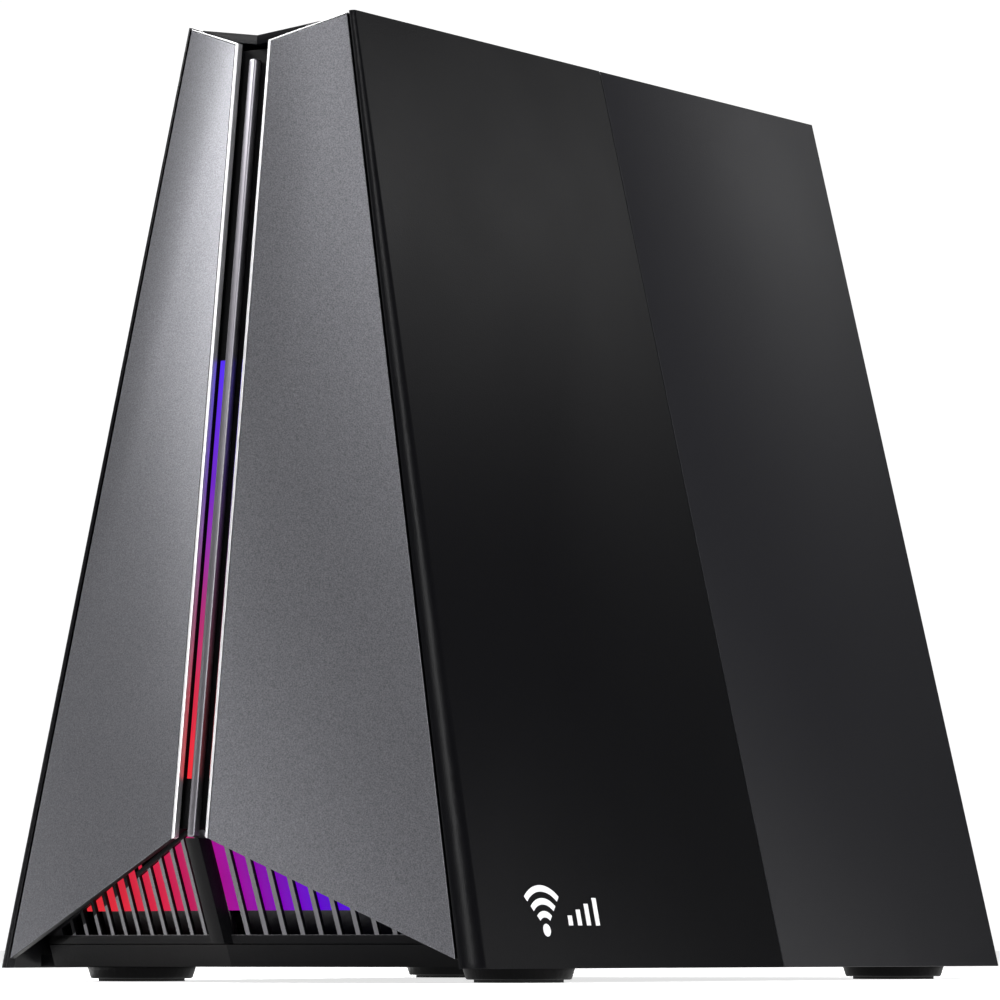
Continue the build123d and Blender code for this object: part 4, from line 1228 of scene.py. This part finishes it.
@dataclass
class Ports:
    """The tray with its jacks and buttons."""

    frame: Frame
    jacks: int = 5
    contacts: int = 8
    contact_pitch: float = 1.02
    contact_lift: float = 1.65
    usb_contacts: int = 5
    usb_pitch: float = 2.025
    window_offset: float = 4.9
    window_drop: float = 1.6
    print_height: float = 3.0
    line_half: float = 0.2
    ink_mm: float = 0.05
    tray_depth: float = 0.28

    def build(self) -> None:
        """Redraws the tray with rounded edges and fits contacts, windows and printed marks."""
        self.frame.soften("port_plate", 0.25, STRUCTURE_BLACK)
        for button in ("power_button", "wps_button", "light_button", "reset_button"):
            self.cap(button)
        self.spring_contacts()
        self.link_windows()
        self.usb_strips()
        self.markings()

    def jack_boxes(self) -> list[Corners]:
        """Returns the jacks' box corners in millimetres."""
        return [box_mm(f"ethernet_jack_{number}") for number in range(1, self.jacks + 1)]

    def cap(self, name: str) -> None:
        """Redraws a button with smooth round sides; it moves with its own body.

        Args:
            name: the button's node, which is also its body.
        """
        mesh = bpy.data.meshes.new(f"{name}_cap")
        shape = self.frame.merged(name)
        shape.to_mesh(mesh)
        shape.free()
        mesh.shade_smooth()
        mesh.set_sharp_from_angle(angle=math.radians(35))
        piece = new_piece(f"{name}_cap", mesh, BUTTON_BLACK)
        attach(piece, name)
        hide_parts(name)

    def spring_contacts(self) -> None:
        """Eight gold springs slant up from the floor of each socket."""
        path = [(-1.5, 0.05), (-2.5, 0.05), (-9.5, 2.6), (-13.5, 3.1)]
        half, thick = 0.18, 0.14
        points, faces = [], []
        for y, z in path:
            for x, lift in ((-half, 0.0), (half, 0.0), (half, thick), (-half, thick)):
                points.append(Vector((x, y, z + lift)))
        for i in range(len(path) - 1):
            for j in range(4):
                k = (j + 1) % 4
                faces.append((4 * i + j, 4 * i + 4 + j, 4 * i + 4 + k, 4 * i + k))
        faces += [(0, 1, 2, 3), tuple(4 * len(path) - 4 + j for j in (3, 2, 1, 0))]
        unit = mesh_from("spring_contact", points, faces)
        spots = []
        for low, high in self.jack_boxes():
            middle = (low.x + high.x) / 2
            for i in range(self.contacts):
                offset = (i - (self.contacts - 1) / 2) * self.contact_pitch
                spots.append((middle + offset, high.y, low.z + self.contact_lift))
        piece = Repeater("spring_contacts", unit, GOLD).bake(spots)
        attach(piece, HOUSING)

    def link_windows(self) -> None:
        """Two small light windows above each socket."""
        spots = []
        for low, high in self.jack_boxes():
            for side in (-1, 1):
                x = (low.x + high.x) / 2 + side * self.window_offset
                spots.append((x, high.y - 0.2, high.z - self.window_drop))
        unit = rounded_box("link_window", (2.6, 0.5, 1.3), 0.18)
        piece = Repeater("link_windows", unit, LINK_GREEN).bake(spots)
        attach(piece, HOUSING)

    def usb_strips(self) -> None:
        """Flat gold strips on the tongue of the USB socket."""
        low, high = box_mm("usb_tongue")
        width = 0.7
        first = (low.z + high.z) / 2 - (self.usb_contacts - 1) / 2 * self.usb_pitch - width / 2
        unit = rounded_box("usb_contact", (0.12, 8.0, width), 0.04)
        rows = [first + i * self.usb_pitch for i in range(self.usb_contacts)]
        spots = [(high.x - 0.72, high.y - 5.0, z) for z in rows]
        piece = Repeater("usb_contacts", unit, GOLD).bake(spots)
        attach(piece, HOUSING)

    def markings(self) -> None:
        """Prints plain digits over the local ports, a ring by the outside line and a power sign."""
        points: list[Vector] = []
        faces: list[tuple[int, ...]] = []
        tray = box_mm("ethernet_jack_1")[1].y - self.tray_depth

        def add(outline: Outline, x: float, z: float) -> None:
            """Adds one printed shape to the tray.

            Args:
                outline: its corners, counter-clockwise, about its own origin.
                x: where its origin goes across the tray, in millimetres.
                z: how high its origin goes.
            """
            shape, sides = prism(outline, self.ink_mm, lambda u, v, h: Vector((x - u, tray + h, z + v)))
            faces.extend(tuple(i + len(points) for i in side) for side in sides)
            points.extend(shape)

        strokes = {
            1: [(0.0, 0.0, 0.0, 1.0)],
            2: [(-0.3, 1.0, 0.3, 1.0), (0.3, 1.0, 0.3, 0.5), (0.3, 0.5, -0.3, 0.5),
                (-0.3, 0.5, -0.3, 0.0), (-0.3, 0.0, 0.3, 0.0)],
            3: [(-0.3, 1.0, 0.3, 1.0), (0.3, 1.0, 0.3, 0.0), (0.3, 0.5, -0.2, 0.5),
                (-0.3, 0.0, 0.3, 0.0)],
            4: [(-0.3, 1.0, -0.3, 0.5), (-0.3, 0.5, 0.3, 0.5), (0.3, 1.0, 0.3, 0.0)],
        }
        high, line = self.print_height, self.line_half
        middle = high / 2
        for number, (low, up) in enumerate(self.jack_boxes()):
            x, z = (low.x + up.x) / 2, up.z + 1.6
            if number == 0:
                add(arc_band((0.0, middle), middle - line, 2 * line, 0, 180), x, z)
                add(arc_band((0.0, middle), middle - line, 2 * line, 180, 360), x, z)
                add(oblong((-middle, middle - line), (middle, middle + line)), x, z)
                continue
            for x0, z0, x1, z1 in strokes[number]:
                left, right = min(x0, x1) * high - line, max(x0, x1) * high + line
                foot, head = min(z0, z1) * high - line, max(z0, z1) * high + line
                add(oblong((left, foot), (right, head)), x, z)
        low, up = box_mm("power_button")
        x, z = (low.x + up.x) / 2, up.z + 2.0
        add(arc_band((0.0, 1.5), 1.4, 2 * line, 125, 415), x, z)
        add(oblong((-line, 1.5), (line, 3.1)), x, z)
        piece = new_piece("port_marks", mesh_from("port_marks", points, faces), MARK_WHITE)
        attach(piece, HOUSING)
        log.info("printed the port marks")

    def dress(self) -> None:
        """Gives jacks and switches their finishes."""
        self.frame.dress(JACK_BLUE, "ethernet_jack_1")
        for number in range(2, self.jacks + 1):
            self.frame.dress(JACK_BLACK, f"ethernet_jack_{number}")
        self.frame.dress(TIN, "usb_shell")
        self.frame.dress(JACK_BLUE, "usb_tongue")
        self.frame.dress(JACK_BLACK, "dc_jack")
        self.frame.dress(CHIP_EPOXY, "power_switch", "key_switches")
        self.frame.dress(BOARD_GREEN, "key_board")


@dataclass
class Inside:
    """Main board, heatsink, inner frame and antennas."""

    frame: Frame
    antennas: int = 6
    grid_mm: float = 4.2
    jitter_mm: float = 0.5
    margin_mm: float = 3.2
    half_width: float = 45.0
    far_end: float = 78.0
    inset: float = 6.0
    share: float = 0.6
    seed: int = 11

    def free_spots(self) -> Spots:
        """Finds places on the main board that are clear of everything that stands on it.

        Returns:
            The places, in millimetres.
        """
        low, high = box_mm("main_board")
        bosses = [Vector((x, y, 0)) for x in (-36, 36) for y in (-44, -2, 40)]
        taken = [(boss, boss) for boss in bosses]
        for name in ("processor_chips", "rf_shield_cans", "board_screws", "heatsink"):
            taken += Fasteners(self.frame).solids(name)
        for x in (-50, -42, 42, 50):
            taken += [(Vector((x - 4, -54, 0)), Vector((x + 4, -46, 0)))]
            taken += [(Vector((x - 5, 54, 0)), Vector((x + 5, 62, 0)))]
        chance = random.Random(self.seed)
        spots = []
        margin, jitter = self.margin_mm, self.jitter_mm
        rows = int((self.far_end - low.y - self.inset) / self.grid_mm)
        columns = int(2 * self.half_width / self.grid_mm)
        for row in range(rows):
            for column in range(columns + 1):
                x = -self.half_width + column * self.grid_mm + chance.uniform(-jitter, jitter)
                y = low.y + self.inset + row * self.grid_mm + chance.uniform(-jitter, jitter)
                clear = all(
                    x < a.x - margin or x > b.x + margin or y < a.y - margin or y > b.y + margin
                    for a, b in taken
                )
                if clear and chance.random() < self.share:
                    spots.append((x, y, high.z))
        return spots

    def build(self) -> None:
        """Scatters small parts with soldered caps over the free areas of the board."""
        spots = self.free_spots()
        ends = [(x + side, y, z) for x, y, z in spots for side in (-0.85, 0.85)]
        body = rounded_box("ceramic_body", (1.5, 0.8, 0.55), 0.06)
        cap = rounded_box("solder_cap", (0.35, 0.86, 0.6), 0.08)
        sizes = {"smallest": (0.8,) * 3, "largest": (1.35,) * 3, "seed": self.seed}
        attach(Repeater("board_ceramics", body, CERAMIC, **sizes).bake(spots), HOUSING)
        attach(Repeater("solder_caps", cap, TIN).bake(ends), HOUSING)
        self.frame.soften("heatsink", 0.15, SINK_METAL)
        self.frame.soften("rf_shield_cans", 0.2, TIN)
        self.frame.soften("processor_chips", 0.12, CHIP_EPOXY)

    def dress(self) -> None:
        """Gives the inner pieces their finishes."""
        self.frame.dress(BOARD_GREEN, "main_board")
        self.frame.dress(PAD_GREY, "thermal_pads")
        self.frame.dress(STRUCTURE_BLACK, "inner_frame")
        for number in range(1, self.antennas + 1):
            self.frame.dress(ANTENNA_GREEN, f"antenna_{number}")
        self.frame.dress(COAX_BLACK, "antenna_leads")
        self.frame.dress(GOLD, "antenna_connectors")


def main() -> None:
    """Builds the router's looks in order."""
    logging.basicConfig(level=logging.INFO, format="%(name)s: %(message)s")
    frame = Frame.load()
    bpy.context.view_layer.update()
    Studio().build()
    Fasteners(frame).build()
    for assembly in (Front(frame), Shells(frame), Ports(frame), Inside(frame)):
        assembly.build()
        assembly.dress()


if __name__ == "__main__":
    main()
